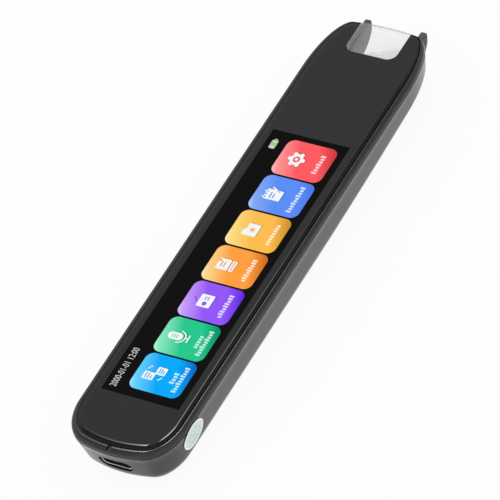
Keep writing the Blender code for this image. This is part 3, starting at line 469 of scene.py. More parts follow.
def makeRearShell(p):
    skinWall, lipWall, lipDepth = penBody["wall"], penBody["lipWall"], penBody["lipDepth"]
    top, edge = penBody["shellTop"], p["topEdge"]
    outer = [shellRing(depth, 0.0) for depth in shellLevels(p, top + edge, 0.0)]
    softTop = [evenRing(edge * s, top + edge * d) for s, d in p["topCurve"]]
    lip = [evenRing(lipWall, depth) for depth in (top, lipDepth)]
    inner = [shellRing(depth, skinWall) for depth in shellLevels(p, lipDepth, skinWall)]
    bm = bmesh.new()
    loft(bm, outer[::-1] + softTop + lip + inner, strips=True)
    shell = newPiece("rearShell", bm, [shellFinish])
    out, low = cutReach["out"], cutReach["low"]
    half = p["noseSlotHalf"]
    hole = slotPoints(*p["socketSlot"], (0.0, height(p["socketDepth"])), p["socketEndSteps"])
    tools = [
        prismTool(hole, "Y", bottomY - out, p["socketCutTo"]),
        blockTool((-half, p["noseSlotFrom"], low), (half, tipY + cutReach["tip"], cutReach["high"])),
    ]
    for index in range(p["speakerSlots"]):
        y = p["speakerY"] + (index - (p["speakerSlots"] - 1) / 2) * p["speakerPitch"]
        tools.append(prismTool(slotPoints(*p["speakerSlot"], (0.0, y)), "Z", low, p["wallCut"]))
    opening = slotPoints(*p["buttonSlot"], (p["buttonY"], height(p["buttonDepth"])))
    tools.append(prismTool(opening, "X", -halfWidth - out, -halfWidth + p["wallCut"]))
    carve(shell, tools)
    # Screw bosses stand on the floor inside
    bm = bmesh.new()
    bm.from_mesh(shell.data)
    for spot in p["bosses"]:
        loft(bm, [
            [(x, y, z) for x, y in circlePoints(radius, spot, p["bossSteps"])]
            for radius, z in p["bossProfile"]
        ])
    bm.to_mesh(shell.data)
    bm.free()
    soften(shell, p["smoothAngle"])
    settle(shell, ["rear_shell"])


makeRearShell(rearShell)
print("rear shell made")


# Front frame: the rounded rim round the glass
frontFrame = {
    "rimTop": 0.0001, "floorDepth": 0.0021, "ledgeDepth": 0.0012,
    "grooveSide": 0.00135, "grooveLow": 0.0019, "grooveHigh": 0.0003,
    "lipInset": 0.00085, "seamEdge": ((0.0001, 0.0), (0.00003, 0.00003)),
    "rimProfile": (
        (0.0, 1.0), (0.03, 0.6), (0.12, 0.32), (0.32, 0.10), (0.42, 0.052), (0.50, 0.031),
        (0.58, 0.019), (0.66, 0.0100), (0.74, 0.0038), (0.80, 0.0006), (0.84, 0.0),
        (0.87, 0.010), (0.90, 0.033), (1.0, 0.12),
    ),
    "rimSteps": 3, "smoothAngle": 30.0,
    "opening": (0.0241, 0.0920), "openingY": -0.0129, "openingDepths": (0.004, -0.002),
    "slitHalf": 0.00055, "slitDepth": 0.0006, "slitTo": -0.0704,
}
notch = {"half": 0.0073, "length": 0.0100, "radius": 0.0025}


def notchPoints(gap, farY, steps=14):
    # The U shape of the scan window, open at the tip
    half, radius = notch["half"] - gap, notch["radius"] - gap
    startY = tipY - notch["length"] + gap
    centre = (half - radius, startY + radius)
    points = [(half, farY)]
    points += [onCircle(centre, radius, -pi / 2 * i / steps) for i in range(steps + 1)]
    return points + [(-x, y) for x, y in reversed(points)]


def notchTool():
    outline = notchPoints(0.0, tipY + cutReach["tip"])
    return prismTool(outline, "Z", cutReach["low"], cutReach["high"])


def makeFrontFrame(p):
    lip, seam, rimTop = p["lipInset"], penBody["seamDepth"], p["rimTop"]
    groove = (p["grooveSide"], p["grooveLow"], p["grooveHigh"])
    rings = [evenRing(lip, p["floorDepth"]), evenRing(lip, seam)]
    rings += [evenRing(inset, seam - drop) for inset, drop in p["seamEdge"]]
    for insetShare, depthShare in smoothLine(p["rimProfile"], p["rimSteps"])[1:]:
        depth = max(rimTop + depthShare * (seam - rimTop), rimTop)
        rings.append(ring(*tinted(groove, max(insetShare, 0.0)), depth))
    rings.append(ring(*groove, p["ledgeDepth"]))
    bm = bmesh.new()
    loft(bm, rings, strips=True)
    rim = newPiece("frontFrame", bm, [rimFinish])
    halfX, halfY = p["opening"][0] / 2, p["opening"][1] / 2
    floor, above = [height(depth) for depth in p["openingDepths"]]
    y, slit = p["openingY"], p["slitHalf"]
    carve(rim, [
        blockTool((-halfX, y - halfY, floor), (halfX, y + halfY, above)),
        notchTool(),
        blockTool(
            (-slit, bottomY - cutReach["out"], height(p["slitDepth"])),
            (slit, p["slitTo"], cutReach["high"]),
        ),
    ])
    soften(rim, p["smoothAngle"])
    settle(rim, ["front_frame"])


makeFrontFrame(frontFrame)
print("front frame made")


# Cover glass, its face a hair lower than in the solid to leave room for the lit screen, and
# laid a little to the left in its recess, as the unequal black lines round it show
coverGlass = {
    "grooveWidth": 0.0002, "tipGap": 0.00002, "shift": -0.00012, "faceDrop": 0.00009,
    "thickness": 0.00075, "edge": 0.0018, "edgeDrop": 0.00025, "edgeSteps": 18,
    "smoothAngle": 30.0,
}


def makeCoverGlass(p):
    insets = (
        frontFrame["grooveSide"] + p["grooveWidth"], frontFrame["grooveLow"] + p["grooveWidth"],
        frontFrame["grooveHigh"] + p["tipGap"],
    )
    rings = [ring(*insets, p["thickness"])]
    for inward, along in reversed(quarterTurn(p["edgeSteps"])):
        depth = p["faceDrop"] + p["edgeDrop"] * along
        rings.append(ring(*[inset + p["edge"] * inward for inset in insets], depth))
    bm = bmesh.new()
    loft(bm, [[(x + p["shift"], y, z) for x, y, z in points] for points in rings], strips=True)
    glass = newPiece("coverGlass", bm, [glassFinish])
    carve(glass, [notchTool()])
    soften(glass, p["smoothAngle"])
    settle(glass, ["cover_glass"])


makeCoverGlass(coverGlass)
print("cover glass made")


# Clear scan window in the notch
scanWindow = {
    "gap": 0.00012, "low": 0.01146, "high": 0.01246, "edge": 0.00016, "edgeSteps": 3,
    "frontSteps": 14, "smoothAngle": 35.0, "colour": (0.62, 0.63, 0.64), "lighter": 1.06,
    "opacity": (0.13, 0.484), "edgeBlend": 0.25, "rough": 0.1, "ior": 1.49, "hazeScale": 500.0,
}


def windowFinish(p):
    finish, net, shader = newFinish("clearWindow")
    haze = noiseNode(net, placeNode(net), p["hazeScale"])
    slant = addNode(net, "LayerWeight", {"Blend": p["edgeBlend"]}, "Fresnel")
    feed(net, shader, {
        "Roughness": p["rough"], "IOR": p["ior"],
        "Base Color": mottle(net, haze, p["colour"], tinted(p["colour"], p["lighter"])),
        "Alpha": spanNode(net, slant, 0.0, 1.0, *p["opacity"]),
    })
    return finish


clearFinish = windowFinish(scanWindow)


def bulgeY(x):
    radius = penBody["highBulgeRadius"]
    return tipY - radius + sqrt(radius ** 2 - x ** 2)


def makeScanWindow(p):
    half = notch["half"] - p["gap"]
    steps = p["frontSteps"]
    outline = notchPoints(p["gap"], bulgeY(half) - p["gap"])
    for i in range(1, steps):
        x = half * (2 * i / steps - 1)
        outline.append((x, bulgeY(x) - p["gap"]))
    # Its upper and lower edges are rounded
    low, high, edge = p["low"], p["high"], p["edge"]
    levels = [(edge * inward, low + edge * along) for inward, along in quarterTurn(p["edgeSteps"])]
    levels += [(inset, low + high - z) for inset, z in reversed(levels)]
    bm = bmesh.new()
    loft(bm, [[(x, y, z) for x, y in insetPoints(outline, inset)] for inset, z in levels])
    plate = newPiece("scanWindow", bm, [clearFinish], p["smoothAngle"])
    settle(plate, ["scan_window"])


makeScanWindow(scanWindow)
print("scan window made")


# Nib fork: two horns that stand past the tip, on two arms and a crossbar
nibFork = {
    "backY": 0.05985, "length": 0.0126, "topDepth": 0.0031, "bottomDepth": 0.0096,
    "innerX": 0.00725, "outerX": 0.00905, "outerEdge": 0.0006, "innerEdge": 0.0003,
    "edgeSteps": 4, "profileSteps": 4, "smoothAngle": 40.0,
    "profile": (
        (0.0, 1.0), (0.25, 0.95), (0.484, 0.884), (0.587, 0.841), (0.698, 0.754), (0.813, 0.623),
        (0.913, 0.478), (0.968, 0.29), (0.992, 0.174), (1.0, 0.1), (0.988, 0.03), (0.952, 0.0),
    ),
    "foot": [(0.5, 0.0), (0.0, 0.0)],
    "crossbarHalf": 0.01055, "crossbarY": (0.04563, 0.04723), "crossbarZ": (0.0037, 0.0067),
    "armX": (0.00795, 0.00895), "armY": (0.04613, 0.06055), "armZ": (0.0045, 0.0083),
    "barEdge": 0.0002,
}


def makeNibFork(p):
    run = p["bottomDepth"] - p["topDepth"]
    outline = smoothLine(p["profile"], p["profileSteps"]) + p["foot"]
    points = [(p["backY"] + y * p["length"], height(p["topDepth"] + z * run)) for y, z in outline]
    sections = []
    for x, edge, out in ((p["innerX"], p["innerEdge"], 1), (p["outerX"], p["outerEdge"], -1)):
        for across, drawn in quarterTurn(p["edgeSteps"]):
            sections.append((x + out * edge * across, edge * drawn))
    sections.sort()
    edge = p["barEdge"]
    bm = bmesh.new()
    for side in (-1, 1):
        loft(bm, [
            [(side * x, y, z) for y, z in insetPoints(points, inset)] for x, inset in sections
        ])
        low, high = [list(spot) for spot in zip(p["armX"], p["armY"], p["armZ"])]
        low[0], high[0] = sorted((side * low[0], side * high[0]))
        addBlock(bm, low, high, edge)
    half, barY, barZ = p["crossbarHalf"], p["crossbarY"], p["crossbarZ"]
    addBlock(bm, (-half, barY[0], barZ[0]), (half, barY[1], barZ[1]), edge)
    fork = newPiece("nibFork", bm, [forkFinish], p["smoothAngle"])
    settle(fork, ["nib_fork"], "nib")


makeNibFork(nibFork)
print("nib fork made")


# Charging socket: a rolled steel shell and its tongue with contacts
socket = {
    "width": 0.00894, "height": 0.00326, "depth": 0.0062, "frontY": -0.07085, "length": 0.0073,
    "wall": 0.0003, "lipSteps": 8, "paintedShadeFrom": 0.95, "endSteps": 16, "shellAngle": 40.0,
    "tongueWidth": 0.0067, "tongueThickness": 0.0007, "tongueFrontY": -0.07037,
    "tongueEdge": 0.00012, "baseY": (-0.06597, -0.06397), "baseInset": 0.00084,
    "contacts": 12, "contactPitch": 0.0005, "contactHalf": 0.00013, "contactLift": 0.00003,
    "contactFrom": 0.0005, "tongueEdgeSteps": 3, "tongueAngle": 35.0,
}
steelFinish = surfaceFinish(
    "springSteel", (0.52, 0.52, 0.53), (0.66, 0.66, 0.67), (0.22, 0.34), metal=1.0,
    tintScale=600.0, glossScale=1500.0, grainDepth=0.000006, bump=0.12, stretch=(1.0, 0.25, 1.0),
)
# Black plastic of the tongue, also used as painted shade on the steel inside the socket shell
tongueAndShadeFinish = surfaceFinish(
    "socketPlasticAndShade", (0.010, 0.010, 0.010), (0.016, 0.016, 0.016), (0.45, 0.6),
    tintScale=1500.0, glossScale=2500.0, grainScale=9000.0, bump=0.15,
)
contactFinish = surfaceFinish(
    "goldContact", (0.72, 0.50, 0.20), (0.86, 0.62, 0.28), (0.18, 0.3), metal=1.0,
    tintScale=2500.0, glossScale=4000.0, grainScale=9000.0, grainDepth=0.000003, bump=0.1,
)


def makeSocketShell(p):
    centre = (0.0, height(p["depth"]))
    wall = p["wall"]
    backY = p["frontY"] + p["length"]
    profile = [(0.0, backY)]
    for i in range(p["lipSteps"] + 1):
        a = pi * i / p["lipSteps"]
        profile.append((wall / 2 * (1 - cos(a)), p["frontY"] + wall / 2 * (1 - sin(a))))
    profile.append((wall, backY - wall))
    rings = []
    for inset, y in profile:
        outline = slotPoints(p["width"] - 2 * inset, p["height"] - 2 * inset, centre, p["endSteps"])
        rings.append([(x, y, z) for x, z in outline])
    bm = bmesh.new()
    loft(bm, rings)
    shell = newPiece("socketShell", bm, [steelFinish, tongueAndShadeFinish], p["shellAngle"])
    # Inside the lip the steel takes the black plastic finish, as painted shade for the deep, dark
    # inside of the socket
    straight = (p["width"] - p["height"]) / 2
    paintedShadeRadius = p["height"] / 2 - p["paintedShadeFrom"] * wall
    for face in shell.data.polygons:
        x, _, z = face.center
        if hypot(max(abs(x) - straight, 0.0), z - centre[1]) < paintedShadeRadius:
            face.material_index = 1
    settle(shell, ["socket_shell"])


def makeSocketTongue(p):
    half, thick = p["tongueWidth"] / 2, p["tongueThickness"] / 2
    middle, frontY = height(p["depth"]), p["tongueFrontY"]
    bm = bmesh.new()
    low, high = (-half, frontY, middle - thick), (half, p["baseY"][1], middle + thick)
    addBlock(bm, low, high, p["tongueEdge"], p["tongueEdgeSteps"])
    inset = p["baseInset"]
    base = slotPoints(p["width"] - inset, p["height"] - inset, (0.0, middle))
    addPrism(bm, base, "Y", *p["baseY"])
    tongue = newPiece("socketTongue", bm, [tongueAndShadeFinish, contactFinish], p["tongueAngle"])
    bm = bmesh.new()
    bm.from_mesh(tongue.data)
    plainFaces = len(bm.faces)
    wide, lift = p["contactHalf"], p["contactLift"]
    for index in range(p["contacts"]):
        x = (index - (p["contacts"] - 1) / 2) * p["contactPitch"]
        for sign in (-1, 1):
            low, high = sorted((middle + sign * (thick - lift), middle + sign * (thick + lift)))
            addBlock(
                bm, (x - wide, frontY + p["contactFrom"], low), (x + wide, p["baseY"][0], high),
            )
    bm.faces.ensure_lookup_table()
    for face in bm.faces[plainFaces:]:
        face.material_index = 1
    bm.to_mesh(tongue.data)
    bm.free()
    settle(tongue, ["socket_tongue"])


makeSocketShell(socket)
makeSocketTongue(socket)
print("socket made")


# Power button: a low pill on the left wall
powerButton = {
    "y": 0.02103, "depth": 0.0040, "length": 0.0084, "height": 0.0020, "faceX": -0.015045,
    "capBack": -0.01315, "flangeX": (-0.01315, -0.01255), "flange": (0.0102, 0.0029),
    "edge": 0.00035, "edgeDeep": 0.7, "steps": 5, "endSteps": (16, 12), "smoothAngle": 35.0,
}


def makePowerButton(p):
    centre = (p["y"], height(p["depth"]))
    outline = slotPoints(p["length"], p["height"], centre, p["endSteps"][0])
    rings = []
    for inward, along in quarterTurn(p["steps"]):
        x = p["faceX"] + p["edge"] * along * p["edgeDeep"]
        rings.append([(x, y, z) for y, z in insetPoints(outline, p["edge"] * inward)])
    rings.append([(p["capBack"], y, z) for y, z in outline])
    bm = bmesh.new()
    loft(bm, rings)
    addPrism(bm, slotPoints(*p["flange"], centre, p["endSteps"][1]), "X", *p["flangeX"])
    button = newPiece("powerButton", bm, [rimFinish], p["smoothAngle"])
    settle(button, ["power_button"], "button")


makePowerButton(powerButton)
print("power button made")


# Seal sticker: a paper disc that follows the right wall
sealSticker = {
    "y": -0.05825, "fromSeam": 0.0033, "halfLength": 0.0043, "halfHeight": 0.0035,
    "lift": (0.00010, 0.00022), "rings": 14, "spokes": 72, "rimShare": 0.86, "rimSoft": 0.02,
    "paper": (0.95, 0.97, 0.96), "green": (0.40, 0.66, 0.53), "paleGreen": (0.78, 0.90, 0.84),
    "rimPaper": (1.0, 1.0, 1.0), "speckScale": 8.0, "speckEdge": (0.34, 0.44),
    "bandScale": 3.2, "bandBend": 1.2, "bandDetail": 3.0, "bandEdge": (0.35, 0.65),
    "fibreScale": 60.0, "fibreDepth": 0.00001, "bump": 0.2, "rough": 0.5, "ior": 1.45,
    "smoothAngle": 35.0, "printShare": 0.5,
}


def stickerFinish(p):
    finish, net, shader = newFinish("sealPaper")
    spot = placeNode(net, "UV", Location=(-1.0, -1.0, 0.0), Scale=(2.0, 2.0, 1.0))
    reach = addNode(net, "VectorMath", {0: spot}, "Value", operation="LENGTH")
    inputs = {"Vector": spot, "Scale": p["speckScale"]}
    speck = addNode(net, "TexVoronoi", inputs, "Distance")
    inputs = {
        "Vector": spot, "Scale": p["bandScale"], "Distortion": p["bandBend"],
        "Detail Scale": p["bandDetail"],
    }
    bands = addNode(net, "TexWave", inputs, "Fac", wave_type="RINGS", rings_direction="SPHERICAL")
    pattern = mixNode(
        net, p["printShare"], mottle(net, speck, p["paper"], p["green"], p["speckEdge"]),
        mottle(net, bands, p["paleGreen"], p["paper"], p["bandEdge"]),
    )
    rim = spanNode(net, reach, p["rimShare"] - p["rimSoft"], p["rimShare"] + p["rimSoft"])
    feed(net, shader, {
        "Roughness": p["rough"], "IOR": p["ior"],
        "Base Color": mixNode(net, rim, pattern, (*p["rimPaper"], 1.0)),
        "Normal": bumpNode(net, noiseNode(net, spot, p["fibreScale"]), p["bump"], p["fibreDepth"]),
    })
    return finish


def makeSealSticker(p):
    lean = atan(penBody["lean"])
    corner = penBody["corner"]
    centreDepth = penBody["thickness"] - corner
    flatRun = (centreDepth + corner * sin(lean) - penBody["shellTop"]) / cos(lean)
    centreX = halfWidth - wallInset(penBody["thickness"], 0.0)
    cornerEnd = penBody["cornerSteps"] + penBody["bulgeSteps"] - 1
    cornerStart = halfOutline(0.0, 0.0, 0.0)[cornerEnd][1]

    def surface(a, b, lift):
        # A point above the right wall, a of the way down the disc and b of the way along it
        along, down = p["y"] + b * p["halfLength"], p["fromSeam"] + a * p["halfHeight"]
        share = max(cornerStart - along, 0.0) / penBody["lowCornerLength"]
        pull = penBody["lowCornerWidth"] * (1.0 - sqrt(1.0 - share ** 2))
        angle = lean + max(down - flatRun, 0.0) / corner
        short = max(flatRun - down, 0.0)
        x = centreX - pull + short * sin(lean) + (corner + lift) * cos(angle)
        depth = centreDepth - short * cos(lean) + (corner + lift) * sin(angle)
        return (x, along, height(depth))

    bm = bmesh.new()
    layer = bm.loops.layers.uv.new("sealMap")
    spots = {}
    outer = []
    around = [(step, (step + 1) % p["spokes"]) for step in range(p["spokes"])]
    for lift in p["lift"]:
        centre = bm.verts.new(surface(0.0, 0.0, lift))
        spots[centre] = (0.5, 0.5)
        loops = []
        for index in range(1, p["rings"] + 1):
            loop = []
            for a, b in circlePoints(index / p["rings"], steps=p["spokes"]):
                vert = bm.verts.new(surface(a, b, lift))
                spots[vert] = (0.5 + b / 2, 0.5 + a / 2)
                loop.append(vert)
            loops.append(loop)
        for step, after in around:
            bm.faces.new((centre, loops[0][step], loops[0][after]))
            for one, two in zip(loops, loops[1:]):
                bm.faces.new((one[step], two[step], two[after], one[after]))
        outer.append(loops[-1])
    for step, after in around:
        bm.faces.new((outer[0][step], outer[0][after], outer[1][after], outer[1][step]))
    for face in bm.faces:
        for loop in face.loops:
            loop[layer].uv = spots[loop.vert]
    sticker = newPiece("sealSticker", bm, [stickerFinish(p)], p["smoothAngle"])
    settle(sticker, ["seal_sticker"])


makeSealSticker(sealSticker)
print("seal sticker made")


# Lit screen. On it, u runs towards the tip and v towards the pen's right side
litScreen = {
    "centre": (-0.00031, -0.012975), "size": (0.02208, 0.08615), "corner": 0.0001,
    "glassTop": 0.01241, "step": 0.00002, "black": (0.0048, 0.0048, 0.0050),
    "blackLight": 1.1, "unlit": (0.002, 0.002, 0.002, 1.0), "rough": 0.6, "cellScale": 2000.0,
}
# How high each kind of picture lies above the glass and how thick it is, in steps
layers = {
    "face": (1.5, 2.0), "tile": (2.5, 1.6), "shadow": (3.0, 0.6), "icon": (3.5, 0.6),
    "cut": (4.0, 0.6), "hub": (4.5, 0.6), "label": (3.5, 0.9), "sign": (2.5, 0.9),
    "signPart": (3.0, 0.6),
}


def screenLevel(layer):
    return litScreen["glassTop"] + litScreen["step"] * layers[layer][0]


def glowFinish(name, stops, slope=None):
    # A picture on the screen: it glows and doesn't shine
    finish, net, shader = newFinish(name)
    if slope:
        centre, size, turn = slope
        spot = placeNode(
            net, kind="TEXTURE", Location=(*centre, 0.0), Rotation=(0.0, 0.0, turn),
            Scale=(size, size, 1.0),
        )
        source = addNode(net, "TexGradient", {"Vector": spot}, "Fac")
    else:
        source = noiseNode(net, placeNode(net), litScreen["cellScale"])
    feed(net, shader, {
        "Roughness": litScreen["rough"], "Specular IOR Level": 0.0,
        "Base Color": litScreen["unlit"], "Emission Strength": 1.0,
        "Emission Color": rampNode(net, source, stops),
    })
    return finish


def linear(r, g, b):
    # Screen colours are given as they look, 0 to 255
    shares = [c / 255 for c in (r, g, b)]
    return tuple(
        (c / 12.92 if c <= 0.0393 else ((c + 0.055) / 1.055) ** 2.4) for c in shares
    )


def plainGlow(name, dark, light):
    return glowFinish(name, [(0.3, linear(*dark)), (0.7, linear(*light))])


def whitened(colour, share):
    return tuple(c + (255 - c) * share for c in colour)


def addPicture(bm, points, centre, layer, index=0):
    # Points are (u, v) in millimetres from the centre
    high = screenLevel(layer)
    low = high - litScreen["step"] * layers[layer][1]
    spots = [(centre[0] + v * mm, centre[1] + u * mm) for u, v in points]
    for face in addPrism(bm, spots, "Z", low, high):
        face.material_index = index


def bar(start, end, width, steps=6):
    # A stroke with round ends
    one, two = Vector(start), Vector(end)
    angle = atan2(two.y - one.y, two.x - one.x)
    points = []
    for middle, first in ((two, angle - pi / 2), (one, angle + pi / 2)):
        turns = [first + pi * i / steps for i in range(steps + 1)]
        points += [onCircle(middle, width / 2, a) for a in turns]
    return points


def levelBars(width, *rows):
    # Strokes along u, each from its first u to its second u at its v
    return [bar((first, v), (last, v), width) for first, last, v in rows]


def arc(centre, radii, width, first, last, steps=18):
    outer, inner = [], []
    for i in range(steps + 1):
        a = radians(first + (last - first) * i / steps)
        for side, points in ((width / 2, outer), (-width / 2, inner)):
            x, y = (radii[0] + side) * cos(a), (radii[1] + side) * sin(a)
            points.append((centre[0] + x, centre[1] + y))
    return outer + inner[::-1]


def star(centre, outer, inner, count=5):
    turns = [pi * i / count - pi / 2 for i in range(2 * count)]
    return [onCircle(centre, inner if i % 2 else outer, a) for i, a in enumerate(turns)]


def gear(centre, radius, depth, teeth=6, steps=12, toothHalf=0.25, slant=0.09):
    points = []
    for i in range(teeth * steps):
        phase = i / steps % 1.0
        rise = min(max((toothHalf - abs(phase - 0.5)) / slant, -1.0), 1.0)
        a = 2 * pi * (i / steps - 0.5) / teeth - pi / 2
        points.append(onCircle(centre, radius - depth * (1 - rise) / 2, a))
    return points


def slotTurned(length, width, centre):
    return [(centre[0] + b, centre[1] + a) for a, b in slotPoints(length, width, steps=10)]


def roundCorners(points, radius, steps=4):
    out = []
    for i, spot in enumerate(points):
        here, before = Vector(spot), Vector(points[i - 1])
        after = Vector(points[(i + 1) % len(points)])
        start = here + (before - here).normalized() * radius
        end = here + (after - here).normalized() * radius
        for k in range(steps + 1):
            t = k / steps
            place = start * (1 - t) ** 2 + here * 2 * t * (1 - t) + end * t * t
            out.append((place.x, place.y))
    return out


def makeScreenFace(p):
    black = p["black"]
    finish = glowFinish("screenBlack", [(0.3, black), (0.7, tinted(black, p["blackLight"]))])
    width, length = p["size"]
    bm = bmesh.new()
    outline = roundRect(length / mm, width / mm, p["corner"] / mm)
    addPicture(bm, outline, p["centre"], "face")
    face = newPiece("screenFace", bm, [finish])
    settle(face)


makeScreenFace(litScreen)

# Seven tiles with plain pictures of our own
tiles = {
    "size": (11.25, 14.3), "corner": 2.1, "firstY": -47.94, "pitch": 11.79, "x": 1.62,
    "iconV": -2.35, "labelV": 4.25, "shadow": (0.22, 0.30),
    "blockPitch": 0.84, "blockShare": 0.68, "blockTall": (0.98, 1.32, 0.98), "blockCorner": 0.16,
    "cornerSteps": 10,
    "slopeFrom": (-7.6, -3.6), "slopeLength": 16.4, "slopeTurn": 22.0,
    "slopeStops": (0.0, 0.10, 0.42, 0.72, 0.97), "lightest": 0.45,
    "iconWhite": ((238, 243, 246), (246, 250, 252)),
    "cutShares": (0.92, 1.0), "shadowShares": (0.80, 0.86), "labelShares": (0.70, 0.76),
}
# Kind, lightest, middle and darkest colour, and each row of its label as length and v
tileLooks = [
    ("Cards", (100, 208, 252), (6, 170, 250), (4, 108, 205), ((3.6, -0.95), (8.0, 0.85))),
    ("Microphone", (135, 233, 192), (38, 200, 142), (4, 148, 102), ((4.0, -0.95), (8.0, 0.85))),
    ("Recorder", (198, 155, 250), (146, 88, 248), (100, 46, 226), ((7.4, 0.0),)),
    ("Book", (252, 212, 140), (254, 160, 64), (212, 108, 28), ((7.2, 0.0),)),
    ("Folder", (252, 220, 132), (253, 190, 78), (208, 146, 48), ((6.8, 0.0),)),
    ("Page", (132, 168, 244), (92, 142, 246), (80, 122, 236), ((8.6, 0.0),)),
    ("Gear", (252, 150, 150), (254, 92, 98), (212, 56, 62), ((6.2, 0.0),)),
]


def iconShapes(kind):
    # White parts, parts cut in the tile's colour, white parts above those
    if kind == "Cards":
        white = [
            roundRect(2.3, 3.1, 0.25, (-1.05, -1.15)), roundRect(2.3, 2.6, 0.25, (0.95, 1.45)),
            arc((0.3, -0.2), (1.9, 2.2), 0.25, -75, -35), arc((-0.2, 0.4), (1.9, 2.2), 0.25, 105, 145),
        ]
        return white, levelBars(
            0.3, (-1.75, -0.35, -1.9), (-1.75, -0.35, -1.15), (-1.75, -0.9, -0.4),
            (0.3, 1.6, 0.95), (0.3, 1.6, 1.55), (0.3, 1.0, 2.15),
        ), []
    if kind == "Microphone":
        white = [slotTurned(4.1, 2.2, (0.0, -0.95)), arc((0.0, -0.2), (1.75, 2.0), 0.33, 5, 175)]
        white += [bar((0.0, 1.8), (0.0, 2.6), 0.33), bar((-1.0, 2.65), (1.0, 2.65), 0.4)]
        return white, levelBars(0.24, *[(-0.45, 0.45, v) for v in (-1.75, -1.1, -0.45)]), []
    if kind == "Recorder":
        cut = levelBars(0.28, (0.45, 1.35, 0.4), (0.45, 1.35, 1.15))
        cut += [circlePoints(0.62, (-0.75, 0.8), 20), bar((-0.5, -1.5), (0.75, -2.5), 0.4)]
        return [roundRect(3.9, 3.7, 0.35, (0.1, 0.75))], cut, []
    if kind == "Book":
        white = [roundRect(3.4, 3.3, 0.3, (0.0, -0.8)), roundRect(3.4, 1.3, 0.45, (0.0, 1.85))]
        cut = levelBars(0.35, (-0.7, 0.7, -1.3), (-0.7, 0.7, -0.5))
        cut += levelBars(0.5, (-1.1, 1.7, 1.85))
        cut += [[(0.75, -2.45), (1.3, -2.45), (1.3, -1.6), (1.02, -1.85), (0.75, -1.6)]]
        return white, cut, levelBars(0.16, (-0.9, 1.6, 1.85))
    if kind == "Folder":
        body = [(-1.9, -1.6), (-0.5, -1.6), (0.1, -0.95), (1.9, -0.95), (1.9, 2.4), (-1.9, 2.4)]
        return [roundCorners(body, 0.3)], [star((0.0, 0.75), 0.95, 0.42)], []
    if kind == "Page":
        white = [roundRect(3.2, 4.6, 0.3, (-0.2, 0.2)), bar((1.2, 1.0), (2.0, -0.9), 0.42)]
        white += [bar((u, -2.0), (u, -2.5), 0.3) for u in (-1.2, 0.6)]
        cut = levelBars(0.34, (-1.2, 0.4, -0.5), (-1.2, 0.1, 0.4))
        cut += [bar((0.95, 1.45), (1.35, 0.55), 0.2)]
        cut += [circlePoints(0.24, (u, -1.75), 12) for u in (-1.2, -0.3, 0.6)]
        return white, cut, []
    hub = (0.0, 0.1)
    return [gear(hub, 2.35, 0.62)], [circlePoints(0.95, hub, 28)], [circlePoints(0.42, hub, 20)]


def makeTile(index, kind, top, middle, bottom, labelRows, p):
    centre = (p["x"] * mm, (p["firstY"] + index * p["pitch"]) * mm)
    colours = (whitened(top, p["lightest"]), top, middle, middle, bottom)
    stops = [(place, linear(*colour)) for place, colour in zip(p["slopeStops"], colours)]
    start = [level + step * mm for level, step in zip(centre, p["slopeFrom"])]
    slope = (start, p["slopeLength"] * mm, radians(p["slopeTurn"]))
    finishes = [
        glowFinish("tile" + kind, stops, slope),
        plainGlow("icon" + kind, *p["iconWhite"]),
        plainGlow("iconCut" + kind, *[tinted(middle, share) for share in p["cutShares"]]),
        plainGlow("iconShade" + kind, *[tinted(middle, share) for share in p["shadowShares"]]),
        plainGlow("label" + kind, *[whitened(middle, share) for share in p["labelShares"]]),
    ]
    bm = bmesh.new()
    addPicture(bm, roundRect(*p["size"], p["corner"], steps=p["cornerSteps"]), centre, "tile")
    whites, cuts, hubs = iconShapes(kind)
    spot = (centre[0] + p["iconV"] * mm, centre[1])
    fallen = (spot[0] + p["shadow"][1] * mm, spot[1] + p["shadow"][0] * mm)
    for layer, shapes, finishIndex, place in (
        ("shadow", whites, 3, fallen), ("icon", whites, 1, spot), ("cut", cuts, 2, spot),
        ("hub", hubs, 1, spot),
    ):
        for points in shapes:
            addPicture(bm, points, place, layer, finishIndex)
    labelCentre = (centre[0] + p["labelV"] * mm, centre[1])
    for length, v in labelRows:
        count = round(length / p["blockPitch"])
        for i in range(count):
            tall = p["blockTall"][(i * i + count) % 3]
            u, wide = length * ((i + 0.5) / count - 0.5), length / count * p["blockShare"]
            block = (u, v + (p["blockTall"][0] - tall) / 2)
            points = roundRect(wide, tall, p["blockCorner"], block)
            addPicture(bm, points, labelCentre, "label", 4)
    tile = newPiece("tile" + kind, bm, finishes)
    settle(tile)


for tileIndex, tileLook in enumerate(tileLooks):
    makeTile(tileIndex, *tileLook, tiles)
print("tiles made")

# Clock digits and battery sign along the screen's left edge
clock = {
    "text": "2000-01-01 12:00", "place": (-8.1, -54.6), "size": 2.62, "width": 12.2,
    "colours": ((205, 205, 205), (215.25, 215.25, 215.25)),
}


def makeClock(p):
    curve = bpy.data.curves.new("clockDigits", "FONT")
    curve.body = p["text"]
    curve.size = p["size"] * mm
    curve.resolution_u = 3
    text = bpy.data.objects.new("clockCurve", curve)
    bpy.context.scene.collection.objects.link(text)
    graph = bpy.context.evaluated_depsgraph_get()
    mesh = bpy.data.meshes.new_from_object(text.evaluated_get(graph))
    bpy.data.objects.remove(text)
    squeeze = p["width"] * mm / max(v.co.x for v in mesh.vertices)
    startX, startY = p["place"][0] * mm, p["place"][1] * mm
    for vert in mesh.vertices:
        x, y = vert.co.x * squeeze, vert.co.y
        vert.co = (startX - y, startY + x, screenLevel("sign"))
    bm = bmesh.new()
    bm.from_mesh(mesh)
    digits = newPiece("clockDigits", bm, [plainGlow("clockGlow", *p["colours"])])
    settle(digits)


batterySign = {
    "place": (-8.85, 25.6), "body": (2.8, 1.75, 0.4), "cap": (0.3, 0.8, 0.1), "capU": 1.62,
    "charge": (0.85, 1.4, 0.15), "blank": (0.45, 1.15, 0.12), "blanksU": (-0.85, 0.85),
    "grey": ((176, 178, 176), (190, 192, 190)), "green": ((120, 225, 70), (134, 235, 84)),
    "light": ((214, 216, 214), (226, 228, 226)),
}


